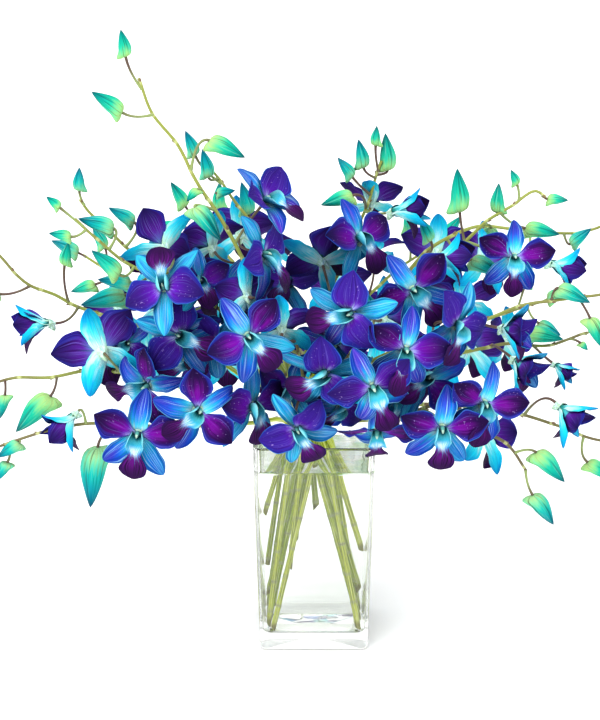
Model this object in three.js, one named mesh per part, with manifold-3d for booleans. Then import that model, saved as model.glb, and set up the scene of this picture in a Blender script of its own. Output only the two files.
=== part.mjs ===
// A bunch of blue and purple dendrobium orchids standing in a square glass vase of water.
// Millimetres, +Z up. The origin is the middle of the vase's underside, and -Y is the front.
import * as THREE from "three";
import { mergeVertices } from "three/addons/utils/BufferGeometryUtils.js";
import Module from "manifold-3d";

const wasm = await Module();
wasm.setup();

// Driving dimensions
const VASE_HEIGHT = 180;
const VASE_BASE_HALF = 44.8;
const VASE_RIM_HALF = 50;
const VASE_CORNER = 8;
const VASE_WALL = 4;
const VASE_SLAB = 14;
const WATER_LEVEL = 158;
const CLEARANCE = 0.35;
const INNER_CORNER = 3;
const CORNER_SEGMENTS = 2;

const STEM_FOOT_RADIUS = 2.6;
const STEM_TIP_RADIUS = 1.4;
const STEM_SIDES = 4;
const STEM_STEPS = 9;
const STEM_TAPER = 1.3;
const PEDICEL_RADIUS = 1.4;
const PEDICEL_RINGS = 2;
// Shares of the distance from the stem to the flower
const PEDICEL_SET_BACK = 0.45;
const PEDICEL_BEND = 0.45;
const LOWEST_BRANCH = VASE_HEIGHT + 4;

const SEPAL_LENGTH = 36;
const SEPAL_WIDTH = 15;
const PETAL_LENGTH = 35;
const PETAL_WIDTH = 28.5;
const LIP_LENGTH = 33;
const LIP_WIDTH = 19;
const BLADE_THICKNESS = 1.5;
const HUB_RADIUS = 5.5;
const HUB_FRONT = 4;
const HUB_BACK = 5;
// Degrees that a closed bloom's blades are folded forward, at their root and their tip
const CLOSING = { from: 62, to: 104 };
const LIP_CLOSING = 0.3;

const BUD_SHARE = 0.36;
const BUD_LEAST_WIDTH = 2.5;
const BUD_CHIN = { reach: 1.45, height: 0.1 };

// The bunch is gathered at the mouth of the vase, in rings, and fans out below and above it
const GATHER = { x: -5, y: 0, height: 166 };
const RINGS = { outer: 20.5, inner: 9.5, centre: 0 };

// Flowers are placed as they are seen from the front: millimetres across and up from the
// middle of the view, and depth from the axis of the vase, negative towards the viewer.
const VIEW = { distance: 2000, fall: 18, centre: [-11.5, 0, 239.6] };

// A foot is where a cut end stands in the vase, leaning on its left or right wall or short of it.
// Columns of blooms: across, up, depth, turn, rise, roll, size, closed.
// Turn 0 and rise 0 face the viewer, a positive turn faces right, a positive rise faces up.
// Columns of buds: across and up of the base, across and up of the tip, depth.
const SPRAYS = [
  {
    name: "spray_tall_left", ring: "inner", slot: 255, foot: [-38, -14, 17],
    axis: [[-6, -20, -40], [-20, 22, -78], [-39, 62, -92], [-58, 105, -92], [-80, 138, -88],
      [-98, 172, -84], [-121, 203, -80], [-133, 231, -78]],
    blooms: [[-29, 129, -95, 50, 45, -20, 0.95, 0.25], [-31, 86, -112, 62, 10, -20, 1, 0],
      [-43, 52, -112, 200, -10, 0, 0.8, 0.15]],
    buds: [[-143, 249, -147, 271, -78], [-146, 203, -171, 220, -80], [-74, 180, -45, 166, -84],
      [-84, 140, -93, 130, -92], [-86, 125, -65, 98, -98]],
  },
  {
    name: "spray_top_left", ring: "centre", slot: 120, foot: [-16, 3, 84],
    axis: [[-6, -10, 10], [-16, 30, 28], [-28, 75, 40], [-41, 113, 48], [-57, 135, 50],
      [-71, 154, 50]],
    blooms: [[-72, 92, 20, -150, 30, 0, 1, 0.15], [-49, 102, 78, 170, 20, 0, 1, 0.15],
      [-10, 62, 8, -20, 50, 0, 0.9, 0]],
    buds: [[-86, 168, -94, 188, 50], [-75, 150, -80, 173, 40], [-68, 137, -53, 139, 40],
      [-42, 120, -48, 146, 60]],
  },
  {
    name: "spray_top_right", ring: "inner", slot: 75, foot: [2, 13, 112],
    axis: [[2, -12, 14], [14, 28, 22], [30, 68, 28], [44, 100, 30], [54, 125, 28],
      [61, 145, 26], [67, 163, 24]],
    blooms: [[18, 80, -25, 190, 20, 55, 1, 0.15], [48, 98, -30, 40, 30, 0, 1, 0],
      [75, 121, 15, 80, 10, 0, 0.9, 0.8], [58, 128, 34, 170, 40, 0, 0.85, 0.2]],
    buds: [[43, 150, 31, 166, 20], [52, 158, 48, 181, 24], [62, 176, 63, 192, 24],
      [72, 156, 70, 186, 30], [43, 135, 17, 127, 10]],
  },
  {
    name: "spray_upper_right", ring: "inner", slot: -15, foot: [38, -3, 42],
    axis: [[8, -22, -6], [36, 12, -28], [72, 48, -50], [105, 76, -58], [133, 96, -52],
      [153, 113, -46], [172, 126, -42], [191, 138, -40], [201, 133, -40]],
    blooms: [[93, 57, -93, 15, 5, -34, 1, 0], [111, 84, -72, 80, 5, 0, 0.85, 0.75],
      [175, 84, -70, 10, 10, 8, 0.9, 0]],
    buds: [[203, 132, 220, 131, -40], [131, 122, 129, 157, -50], [162, 121, 163, 145, -40],
      [178, 144, 173, 156, -40], [185, 108, 213, 103, -36], [157, 108, 160, 91, -36],
      [141, 82, 168, 69, -56]],
  },
  {
    name: "spray_upper_right_back", ring: "inner", slot: 30, foot: [38, 14, 17],
    axis: [[8, -18, 8], [38, 20, 30], [75, 58, 45], [108, 92, 52], [140, 108, 55],
      [175, 108, 52], [210, 104, 45], [240, 107, 40], [262, 116, 36]],
    blooms: [[205, 79, 20, 80, -10, 0, 0.85, 0.75], [148, 82, 80, 140, 0, 0, 1, 0.15],
      [112, 88, 96, 170, 10, 0, 1, 0.15]],
    buds: [[222, 95, 239, 108, 40], [264, 117, 279, 126, 36], [252, 124, 260, 142, 40],
      [107, 98, 98, 117, 30]],
  },
  {
    name: "spray_right", ring: "inner", slot: -60, foot: [38, -20, 19],
    axis: [[10, -30, -22], [42, -8, -52], [80, 8, -72], [118, 22, -82], [153, 34, -84],
      [193, 47, -82], [238, 52, -78], [262, 58, -76]],
    blooms: [[127, 29, -127, 45, 0, 40, 1, 0], [166, 26, -112, 60, 0, 0, 0.85, 0.6]],
    buds: [[212, 59, 238, 47, -80], [238, 34, 248, 10, -78], [264, 58, 282, 63, -76]],
  },
  {
    name: "spray_right_back", ring: "outer", slot: 15, foot: [28, 4, 77],
    axis: [[12, -36, 0], [48, -22, 2], [88, -8, 0], [128, 4, -6], [165, 13, -12],
      [200, 12, -16], [236, 22, -18]],
    blooms: [[176, 0, -48, 50, -25, 0, 0.9, 0.6], [209, -4, -38, 60, -30, 0, 0.6, 0.8],
      [139, 12, 42, 140, 0, 0, 1, 0.15]],
    buds: [[187, 22, 216, 17, -22], [230, 14, 236, 8, -18], [240, 24, 254, 30, -18]],
  },
  {
    name: "spray_lower_right", ring: "outer", slot: -15, foot: [40, -8, 80],
    axis: [[12, -44, -12], [50, -40, -38], [92, -36, -58], [135, -38, -64], [172, -43, -62],
      [207, -52, -58], [234, -63, -54], [258, -68, -50]],
    blooms: [[213, -38, -80, 60, -35, 0, 0.9, 0.65], [103, -15, -112, 15, 15, 70, 1, 0],
      [150, -60, -22, 120, -10, 0, 1, 0.15]],
    buds: [[236, -84, 256, -98, -52], [260, -68, 276, -72, -50]],
  },
  {
    name: "spray_bottom_right", ring: "outer", slot: -45, foot: [37, -34, 17],
    axis: [[10, -52, -22], [44, -50, -62], [82, -46, -90], [121, -36, -100],
      [148, -57, -98], [170, -69, -94], [185, -90, -90]],
    blooms: [[116, -56, -142, 5, -10, 5, 1, 0], [150, -36, -132, 20, -5, 18, 1, 0],
      [63, -57, -122, 0, -50, 0, 0.95, 0], [78, -30, -92, 35, -20, 10, 0.85, 0]],
    buds: [[194, -76, 217, -100, -92], [191, -111, 208, -135, -90]],
  },
  {
    name: "spray_front_right", ring: "outer", slot: 285, foot: [-34, -35, 17],
    axis: [[12, -40, -38], [28, -12, -80], [46, 10, -112], [62, 28, -120]],
    blooms: [[86, 8, -150, 10, 0, 14, 1, 0], [60, -22, -158, 10, -10, -25, 1, 0],
      [34, -36, -106, 25, -25, 60, 0.85, 0], [28, 14, -96, 5, 0, 150, 0.9, 0],
      [41, 39, -146, -20, 0, 75, 1, 0]],
    buds: [[60, 38, 54, 56, -100]],
  },
  {
    name: "spray_front_left", ring: "outer", slot: 255, foot: [-20, -19, 68],
    axis: [[2, -44, -40], [2, -24, -86], [0, 2, -112], [-6, 24, -118]],
    blooms: [[-2, -56, -126, 10, -15, -34, 0.95, 0], [20, -10, -138, -10, -15, 70, 1, 0],
      [-15, 25, -128, 180, 30, 0, 0.9, 0.15], [-40, -38, -108, 40, 0, 0, 1, 0],
      [-6, -22, -92, -20, -20, 20, 0.9, 0],
      [-42, 19, -146, 12, 5, -35, 1, 0]],
    buds: [],
  },
  {
    name: "spray_bottom_left", ring: "outer", slot: 225, foot: [-38, -24, 17],
    axis: [[-12, -50, -30], [-45, -52, -62], [-90, -54, -82], [-133, -54, -92],
      [-172, -52, -96], [-203, -57, -98], [-227, -64, -98], [-250, -72, -98]],
    blooms: [[-133, -61, -132, -5, 0, 8, 1.05, 0], [-84, -41, -135, 10, 0, 63, 1, 0],
      [-185, -45, -100, -65, -40, 0, 0.85, 0.7]],
    buds: [[-230, -68, -248, -80, -98], [-240, -84, -250, -100, -94],
      [-166, -72, -172, -121, -92], [-252, -73, -269, -80, -98]],
  },
  {
    name: "spray_lower_left", ring: "outer", slot: 195, foot: [-41, -6, 112],
    axis: [[-12, -44, -10], [-48, -36, -30], [-90, -24, -48], [-130, -13, -57],
      [-166, -8, -62], [-205, -14, -62], [-235, -15, -60], [-262, -22, -58]],
    blooms: [[-125, -20, -98, -35, -10, 78, 1, 0], [-162, 7, -80, -160, 0, 20, 1.12, 0.15],
      [-142, 14, -58, 10, 5, 60, 0.65, 0]],
    buds: [[-242, -29, -246, -48, -60], [-205, -30, -233, -59, -62], [-264, -23, -281, -30, -58]],
  },
  {
    name: "spray_left", ring: "outer", slot: 165, foot: [-39, 9, 62],
    axis: [[-12, -34, 2], [-48, -12, -4], [-85, 10, -12], [-120, 25, -20], [-152, 33, -26],
      [-180, 43, -30], [-200, 53, -32], [-223, 62, -34], [-246, 85, -36], [-262, 98, -38]],
    blooms: [[-205, 30, -50, -85, 0, 0, 0.9, 0.8], [-98, 20, -92, 0, 12, -70, 1, 0],
      [-122, 3, 30, -140, 0, 0, 1, 0.15],
      [-70, 14, -86, -10, -10, 40, 0.95, 0], [-92, 0, -34, 15, -10, 92, 0.9, 0]],
    buds: [[-193, 78, -190, 97, -32], [-246, 54, -263, 56, -34], [-264, 100, -277, 112, -38]],
  },
  {
    name: "spray_upper_left", ring: "inner", slot: 210, foot: [-37, -6, 26],
    axis: [[-8, -24, -14], [-32, 12, -36], [-64, 40, -54], [-100, 60, -66], [-139, 78, -72],
      [-168, 100, -74], [-184, 116, -76]],
    blooms: [[-111, 60, -112, -15, 35, 170, 1, 0], [-82, 62, -88, 20, 40, 0, 0.8, 0.2],
      [-60, 58, -46, -30, 10, 30, 0.9, 0]],
    buds: [[-197, 125, -208, 134, -76], [-188, 101, -206, 104, -78], [-148, 70, -171, 90, -86],
      [-153, 108, -182, 116, -70]],
  },
  {
    name: "spray_upper_left_back", ring: "inner", slot: 165, foot: [-38, 2, 17],
    axis: [[-8, -20, 4], [-34, 20, 4], [-66, 50, -4], [-100, 68, -12], [-127, 80, -18],
      [-150, 100, -22], [-171, 119, -24], [-180, 132, -26]],
    blooms: [[-111, 92, -50, -150, 10, -45, 1, 0.15], [-112, 44, 24, -150, 10, 0, 1, 0.15]],
    buds: [[-181, 139, -181, 158, -26], [-136, 113, -157, 125, -14], [-139, 63, -166, 66, -36],
      [-144, 53, -180, 45, -18]],
  },
  {
    name: "spray_back_left", ring: "outer", slot: 135, foot: [-38, 21, 22],
    axis: [[-14, -30, 24], [-44, -2, 60], [-82, 26, 92], [-118, 50, 112], [-150, 70, 124],
      [-178, 86, 130]],
    blooms: [[-60, 2, 108, 180, 0, 0, 1, 0.15], [-98, 22, 128, -170, 5, 0, 1, 0.15],
      [-118, 68, 124, 170, 40, 0, 1, 0.15], [-148, 40, 128, -140, -10, 0, 0.9, 0.15]],
    buds: [[-182, 88, -204, 98, 130], [-160, 92, -170, 110, 126], [-168, 62, -188, 56, 136]],
  },
  {
    name: "spray_back_high", ring: "inner", slot: 120, foot: [-38, 12, 34],
    axis: [[-8, -20, 34], [-20, 20, 80], [-38, 56, 118], [-58, 84, 142], [-76, 106, 156],
      [-90, 122, 162]],
    blooms: [[-58, 52, 156, -170, 0, 0, 1, 0.15],
      [-30, 88, 140, 150, 50, 0, 1, 0.15], [-82, 84, 172, -150, 10, 0, 0.9, 0.2]],
    buds: [[-94, 126, -106, 146, 162], [-66, 124, -66, 146, 152], [-100, 108, -122, 110, 164]],
  },
  {
    name: "spray_back_right", ring: "outer", slot: 75, foot: [36, 32, 22],
    axis: [[10, -24, 34], [26, 12, 80], [46, 42, 116], [70, 66, 138], [94, 84, 152],
      [116, 98, 160]],
    blooms: [[30, 58, 138, 180, 20, 0, 1, 0.15], [68, 34, 142, 160, 0, 0, 1, 0.15],
      [60, 86, 120, -170, 60, 0, 0.95, 0.15], [106, 62, 156, 140, 0, 0, 0.9, 0.2]],
    buds: [[119, 100, 132, 118, 160], [90, 104, 88, 126, 150], [126, 88, 146, 84, 158]],
  },
  {
    name: "spray_back_low_right", ring: "outer", slot: 45, foot: [38, 21, 17],
    axis: [[16, -32, 24], [50, -10, 58], [90, 10, 86], [130, 26, 104], [166, 38, 114],
      [200, 48, 120]],
    blooms: [[62, -14, 98, 165, -10, 0, 1, 0.15], [108, 2, 124, 150, 0, 0, 1, 0.15],
      [134, 46, 122, 170, 40, 0, 1, 0.15], [166, 16, 126, 130, -10, 0, 0.9, 0.15]],
    buds: [[203, 50, 224, 58, 120], [184, 60, 190, 80, 116], [196, 30, 214, 20, 122]],
  },
  {
    name: "spray_back_low", ring: "outer", slot: 105, foot: [-35, 32, 17],
    axis: [[0, -36, 44], [2, -16, 92], [2, 2, 134], [0, 10, 164]],
    blooms: [[-26, -2, 146, -165, -5, 0, 1, 0.15], [18, 4, 168, 170, 0, 0, 1, 0.15],
      [26, -26, 125, 150, -30, 0, 1, 0.15]],
    buds: [],
  },
];

const radians = THREE.MathUtils.degToRad;

// Places and directions
function seen([across, up, depth]) {
  const fall = radians(VIEW.fall);
  const [cx, cy, cz] = VIEW.centre;
  const back = depth - cy;
  const away = VIEW.distance + back * Math.cos(fall);
  const rise = (up * away - VIEW.distance * back * Math.sin(fall))
    / (VIEW.distance * Math.cos(fall) + up * Math.sin(fall));
  const range = away - rise * Math.sin(fall);
  return new THREE.Vector3(cx + across * range / VIEW.distance, depth, cz + rise);
}

function direction(turn, rise) {
  const level = Math.cos(radians(rise));
  return new THREE.Vector3(
    Math.sin(radians(turn)) * level, -Math.cos(radians(turn)) * level, Math.sin(radians(rise)));
}

// A small even-handed variation between -1 and 1, the same each time for the same flower
function vary(flower, salt) {
  return Math.sin(flower * 12.9898 + salt * 78.233);
}

// Axes of a flower: x to its right and y to its top as one faces it, z along its gaze
function flowerAxes(gaze, roll) {
  const top = new THREE.Vector3(0, 0, 1).addScaledVector(gaze, -gaze.z).normalize();
  const right = new THREE.Vector3().crossVectors(top, gaze);
  const axes = new THREE.Matrix4().makeBasis(right, top, gaze);
  return axes.multiply(new THREE.Matrix4().makeRotationZ(-radians(roll)));
}

// Solids from three.js geometry, and back
function solidFrom(geometry) {
  const bare = geometry.clone();
  bare.deleteAttribute("normal");
  bare.deleteAttribute("uv");
  const merged = mergeVertices(bare, 1e-4);
  return new wasm.Manifold(new wasm.Mesh({
    numProp: 3,
    vertProperties: new Float32Array(merged.attributes.position.array),
    triVerts: new Uint32Array(merged.index.array),
  }));
}

function geometryFrom(solid) {
  const mesh = solid.getMesh();
  const geometry = new THREE.BufferGeometry();
  geometry.setAttribute("position", new THREE.BufferAttribute(mesh.vertProperties, 3));
  geometry.setIndex(new THREE.BufferAttribute(mesh.triVerts, 1));
  geometry.computeVertexNormals();
  return geometry;
}

function ring(radius, sides) {
  const shape = new THREE.Shape();
  for (let side = 0; side < sides; side++) {
    const angle = (2 * Math.PI * side) / sides;
    const place = [radius * Math.cos(angle), radius * Math.sin(angle)];
    if (side === 0) shape.moveTo(...place);
    else shape.lineTo(...place);
  }
  shape.closePath();
  return shape;
}

// Glass and water
function vaseHalfAt(height) {
  return THREE.MathUtils.lerp(VASE_BASE_HALF, VASE_RIM_HALF, height / VASE_HEIGHT);
}

function roundedSquare(half, corner) {
  const shape = new THREE.Shape();
  const inner = half - corner;
  for (const [x, y, start] of [[1, 1, 0], [-1, 1, 90], [-1, -1, 180], [1, -1, 270]]) {
    shape.absarc(x * inner, y * inner, corner, radians(start), radians(start + 90), false);
  }
  shape.closePath();
  return shape;
}

// A block with the taper of the vase, drawn in from its outer face by an inset
function taperedBlock(bottom, top, inset) {
  const half = vaseHalfAt(bottom) - inset;
  const outline = roundedSquare(half, Math.max(VASE_CORNER - inset, INNER_CORNER));
  const block = new THREE.ExtrudeGeometry(
    outline, { depth: top - bottom, bevelEnabled: false, curveSegments: CORNER_SEGMENTS });
  const place = block.attributes.position;
  for (let i = 0; i < place.count; i++) {
    const height = bottom + place.getZ(i);
    const widening = (vaseHalfAt(height) - inset) / half;
    place.setXYZ(i, place.getX(i) * widening, place.getY(i) * widening, height);
  }
  return solidFrom(block);
}

function vaseSolid() {
  const outside = taperedBlock(0, VASE_HEIGHT, 0);
  return outside.subtract(taperedBlock(VASE_SLAB, VASE_HEIGHT + 2, VASE_WALL));
}

function waterSolid(stemHoles) {
  const fill = taperedBlock(VASE_SLAB + CLEARANCE, WATER_LEVEL, VASE_WALL + CLEARANCE);
  return fill.subtract(wasm.Manifold.union(stemHoles));
}

// Stems
function gatheredPoint({ ring: place, slot }) {
  const away = RINGS[place];
  const [across, deep] = [Math.cos(radians(slot)), Math.sin(radians(slot))];
  return new THREE.Vector3(GATHER.x + away * across, GATHER.y + away * deep, GATHER.height);
}

function stemCurve(spray) {
  const foot = new THREE.Vector3(...spray.foot);
  const mouth = gatheredPoint(spray);
  const points = [foot, foot.clone().lerp(mouth, 0.5), mouth, ...spray.axis.map(seen)];
  return new THREE.CatmullRomCurve3(points, false, "catmullrom", 0.5);
}

// A tapered stem. The spare width is for the hole that the same stem needs in the water.
function stemSolid(curve, spare = 0) {
  const tube = new THREE.ExtrudeGeometry(
    ring(1, STEM_SIDES), { extrudePath: curve, steps: STEM_STEPS, bevelEnabled: false });
  const centres = curve.getSpacedPoints(STEM_STEPS);
  const down = curve.getTangentAt(0).multiplyScalar(-spare);
  const place = tube.attributes.position;
  const corner = new THREE.Vector3();
  for (let i = 0; i < place.count; i++) {
    corner.fromBufferAttribute(place, i);
    const nearest = nearestIndex(centres, corner);
    const radius = THREE.MathUtils.lerp(
      STEM_FOOT_RADIUS, STEM_TIP_RADIUS, (nearest / STEM_STEPS) ** STEM_TAPER) + spare;
    corner.sub(centres[nearest]).multiplyScalar(radius).add(centres[nearest]);
    if (nearest === 0) corner.add(down);
    place.setXYZ(i, corner.x, corner.y, corner.z);
  }
  return solidFrom(tube);
}

function nearestIndex(points, target) {
  let nearest = 0;
  points.forEach((point, index) => {
    if (point.distanceTo(target) < points[nearest].distanceTo(target)) nearest = index;
  });
  return nearest;
}

// Where a pedicel leaves the faceted stem: below the stem's nearest point to the flower
function branchPoint(curve, flower) {
  const rings = curve.getSpacedPoints(STEM_STEPS);
  const samples = rings.slice(1).flatMap((end, index) =>
    [0, 0.125, 0.25, 0.375, 0.5, 0.625, 0.75, 0.875].map((share) =>
      rings[index].clone().lerp(end, share)));
  let index = nearestIndex(samples, flower);
  const reach = samples[index].distanceTo(flower) * PEDICEL_SET_BACK;
  let walked = 0;
  while (walked < reach && samples[index - 1].z > LOWEST_BRANCH) {
    walked += samples[index].distanceTo(samples[index - 1]);
    index -= 1;
  }
  return samples[index];
}

// Adds to a flower's skin, already in place, the pedicel that it grows on. The skin ends in
// a ring of three corners, and the pedicel follows a curve that reaches it from behind.
function growPedicel(skin, from, heading) {
  const root = skin.root.map((corner) => skin.corners[corner]);
  const end = new THREE.Vector3().add(root[0]).add(root[1]).add(root[2]).divideScalar(3);
  const bend = end.clone().addScaledVector(heading, -PEDICEL_BEND * from.distanceTo(end));
  const curve = new THREE.QuadraticBezierCurve3(from, bend, end);
  let near = skin.root;
  for (let step = PEDICEL_RINGS - 1; step >= 0; step--) {
    const share = step / PEDICEL_RINGS;
    const turn = new THREE.Quaternion().setFromUnitVectors(heading, curve.getTangent(share));
    const centre = curve.getPoint(share);
    const far = root.map((corner) => {
      const spoke = corner.clone().sub(end).setLength(PEDICEL_RADIUS);
      return skin.corners.push(spoke.applyQuaternion(turn).add(centre)) - 1;
    });
    for (const [i, j] of [[0, 1], [1, 2], [2, 0]]) {
      skin.faces.push([near[j], near[i], far[i]], [near[j], far[i], far[j]]);
    }
    near = far;
  }
  skin.faces.push([near[0], near[2], near[1]]);
  return solidFrom(facetedGeometry(skin.corners, skin.faces));
}

// Blooms: six blades round a hub. Each blade has a rim, and a rib in front and behind.
// Rows give the share of the length and of the half width.
const BLADES = {
  petal: { length: PETAL_LENGTH, width: PETAL_WIDTH, from: 24, to: -14, cup: 0.16,
    rows: [[0.5, 1], [0.84, 0.74]] },
  sepal: { length: SEPAL_LENGTH, width: SEPAL_WIDTH, from: 12, to: -26, cup: 0.12,
    rows: [[0.46, 1]] },
  lip: { length: LIP_LENGTH, width: LIP_WIDTH, from: 66, to: -22, cup: 0.4,
    rows: [[0.55, 1]] },
};
const ARMS = [
  { blade: "petal", angle: 20 }, { blade: "sepal", angle: 90 }, { blade: "petal", angle: 160 },
  { blade: "sepal", angle: 231 }, { blade: "lip", angle: 270 }, { blade: "sepal", angle: 309 },
];
const ROOT_ANGLES = [55, 195, 290];

// A point of a blade that curls from one pitch to another along its length
function bladePoint(blade, angle, along, aside, lift) {
  const pitch = radians(blade.from);
  const curl = radians(blade.to - blade.from);
  const run = along * blade.length;
  const slope = pitch + curl * along;
  const middle = pitch + (curl * along) / 2;
  const out = run * Math.cos(middle) - lift * Math.sin(slope);
  const forward = run * Math.sin(middle) + lift * Math.cos(slope);
  return new THREE.Vector3(
    out * Math.cos(angle) - aside * Math.sin(angle),
    out * Math.sin(angle) + aside * Math.cos(angle),
    forward);
}

function bloomArms(flower, closed) {
  return ARMS.map(({ blade, angle }, arm) => {
    const kind = BLADES[blade];
    const folded = blade === "lip" ? closed * LIP_CLOSING : closed;
    return {
      ...kind,
      angle: radians(angle + 4 * vary(flower, arm)),
      length: kind.length * (1 + 0.05 * vary(flower, arm + 10)),
      from: kind.from + folded * CLOSING.from + 6 * vary(flower, arm + 20),
      to: kind.to + folded * CLOSING.to + 10 * vary(flower, arm + 30),
    };
  });
}

function bloomSkin(flower, closed) {
  const corners = [new THREE.Vector3(0, 0, HUB_FRONT)];
  const faces = [];
  const add = (point) => corners.push(point) - 1;
  const around = (angle, radius, height) => add(new THREE.Vector3(
    radius * Math.cos(angle), radius * Math.sin(angle), height));
  const arms = bloomArms(flower, closed);
  const valleys = arms.map((arm, index) => {
    const next = arms[(index + 1) % arms.length];
    const turn = index + 1 < arms.length ? 0 : 2 * Math.PI;
    return around((arm.angle + next.angle + turn) / 2, HUB_RADIUS, 0);
  });
  const root = ROOT_ANGLES.map((angle) => around(radians(angle), PEDICEL_RADIUS, -HUB_BACK));
  arms.forEach((arm, index) => {
    const ribs = { front: [0], back: [root[Math.floor(index / 2)]] };
    const rims = { left: [valleys[index]], right: [valleys[(index + 5) % 6]] };
    for (const [along, share] of arm.rows) {
      const half = (arm.width / 2) * share;
      const rise = half * arm.cup;
      ribs.front.push(add(bladePoint(arm, arm.angle, along, 0, BLADE_THICKNESS / 2)));
      ribs.back.push(add(bladePoint(arm, arm.angle, along, 0, -BLADE_THICKNESS / 2)));
      rims.left.push(add(bladePoint(arm, arm.angle, along, half, rise)));
      rims.right.push(add(bladePoint(arm, arm.angle, along, -half, rise)));
    }
    const tip = add(bladePoint(arm, arm.angle, 1, 0, 0));
    faces.push(...bladeFaces(ribs.front, rims.left, tip, true));
    faces.push(...bladeFaces(ribs.front, rims.right, tip, false));
    faces.push(...bladeFaces(ribs.back, rims.left, tip, false));
    faces.push(...bladeFaces(ribs.back, rims.right, tip, true));
  });
  for (const side of [0, 1, 2]) {
    faces.push([valleys[2 * side + 1], root[side], root[(side + 1) % 3]]);
  }
  return { corners, faces, root };
}

// The strip of triangles between a rib and one rim, ending in the tip
function bladeFaces(rib, rim, tip, flipped) {
  const faces = [];
  for (let row = 0; row + 1 < rib.length; row++) {
    faces.push([rib[row], rib[row + 1], rim[row]], [rim[row], rib[row + 1], rim[row + 1]]);
  }
  faces.push([rib[rib.length - 1], tip, rim[rim.length - 1]]);
  return flipped ? faces : faces.map(([a, b, c]) => [a, c, b]);
}

function facetedGeometry(corners, faces) {
  const geometry = new THREE.BufferGeometry().setFromPoints(corners);
  geometry.setIndex(faces.flat());
  return geometry;
}

// Buds: a six-sided spindle on a root of three corners, with a chin low on its underside
const BUD_SIDES = 6;
const BUD_RINGS = [[0.2, 0.86], [0.58, 0.8]];

function budSkin(length) {
  const half = (length * BUD_SHARE + BUD_LEAST_WIDTH) / 2;
  const corners = [];
  const around = (angle, radius, height) => corners.push(new THREE.Vector3(
    radius * Math.cos(radians(angle)), radius * Math.sin(radians(angle)), height)) - 1;
  const root = [-60, 60, 180].map((angle) => around(angle, PEDICEL_RADIUS, 0));
  const [low, high] = BUD_RINGS.map(([along, share]) => [0, 1, 2, 3, 4, 5].map((side) => {
    const chin = side === 0 && along < 0.5;
    const out = half * (chin ? BUD_CHIN.reach : share);
    return around(side * 60 - 90, out, length * (chin ? BUD_CHIN.height * along : along));
  }));
  const tip = around(0, 0, length);
  const faces = [];
  for (let side = 0; side < BUD_SIDES; side++) {
    const next = (side + 1) % BUD_SIDES;
    faces.push([low[side], low[next], high[next]], [low[side], high[next], high[side]]);
    faces.push([high[side], high[next], tip]);
  }
  for (let third = 0; third < 3; third++) {
    const [start, end, after] = [low[2 * third], low[2 * third + 1], low[(2 * third + 2) % 6]];
    const next = root[(third + 1) % 3];
    faces.push([root[third], end, start], [end, root[third], next], [next, after, end]);
  }
  return { corners, faces, root };
}

// Sprays
function placed(skin, axes, place, size = 1) {
  const matrix = axes.clone().scale(new THREE.Vector3(size, size, size)).setPosition(place);
  return { ...skin, corners: skin.corners.map((corner) => corner.applyMatrix4(matrix)) };
}

function bloomSolid(curve, [across, up, depth, turn, rise, roll, size, closed], flower) {
  const gaze = direction(turn, rise);
  const hub = seen([across, up, depth]);
  const skin = placed(bloomSkin(flower, closed), flowerAxes(gaze, roll), hub, size);
  return growPedicel(skin, branchPoint(curve, hub), gaze);
}

function budSolid(curve, [baseAcross, baseUp, tipAcross, tipUp, depth]) {
  const base = seen([baseAcross, baseUp, depth]);
  const tip = seen([tipAcross, tipUp, depth]);
  const heading = tip.clone().sub(base).normalize();
  const skin = placed(budSkin(base.distanceTo(tip)), flowerAxes(heading, 0), base);
  return growPedicel(skin, branchPoint(curve, base), heading);
}

function spraySolid(spray, curve, firstFlower) {
  const pieces = [stemSolid(curve)];
  spray.blooms.forEach((row, index) => pieces.push(bloomSolid(curve, row, firstFlower + index)));
  spray.buds.forEach((row) => pieces.push(budSolid(curve, row)));
  return wasm.Manifold.union(pieces);
}

// Materials
const glass = new THREE.MeshStandardMaterial(
  { color: 0xdfe8e4, roughness: 0.05, metalness: 0, transparent: true, opacity: 0.35 });
const water = new THREE.MeshStandardMaterial(
  { color: 0xd5e6da, roughness: 0.03, metalness: 0, transparent: true, opacity: 0.4 });
const orchid = new THREE.MeshStandardMaterial({ color: 0x3d1f8f, roughness: 0.5, metalness: 0 });

function named(name, solid, material) {
  const mesh = new THREE.Mesh(geometryFrom(solid), material.clone());
  mesh.name = name;
  return mesh;
}

const arrangement = new THREE.Group();
const stemHoles = [];
let flowers = 0;
for (const spray of SPRAYS) {
  const curve = stemCurve(spray);
  arrangement.add(named(spray.name, spraySolid(spray, curve, flowers), orchid));
  stemHoles.push(stemSolid(curve, CLEARANCE));
  flowers += spray.blooms.length;
}
arrangement.add(named("vase", vaseSolid(), glass));
arrangement.add(named("water", waterSolid(stemHoles), water));

export default arrangement;
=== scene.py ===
"""Blue and purple dendrobium orchids in a square glass vase of water.

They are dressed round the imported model, in metres and in its frame: the origin is the middle
of the vase's underside, +Z is up and -Y is the front. The flowers' places, in millimetres,
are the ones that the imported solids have.
"""

import logging
import math
from dataclasses import dataclass, replace
from enum import Enum
from typing import Any, Iterable, Sequence

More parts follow.
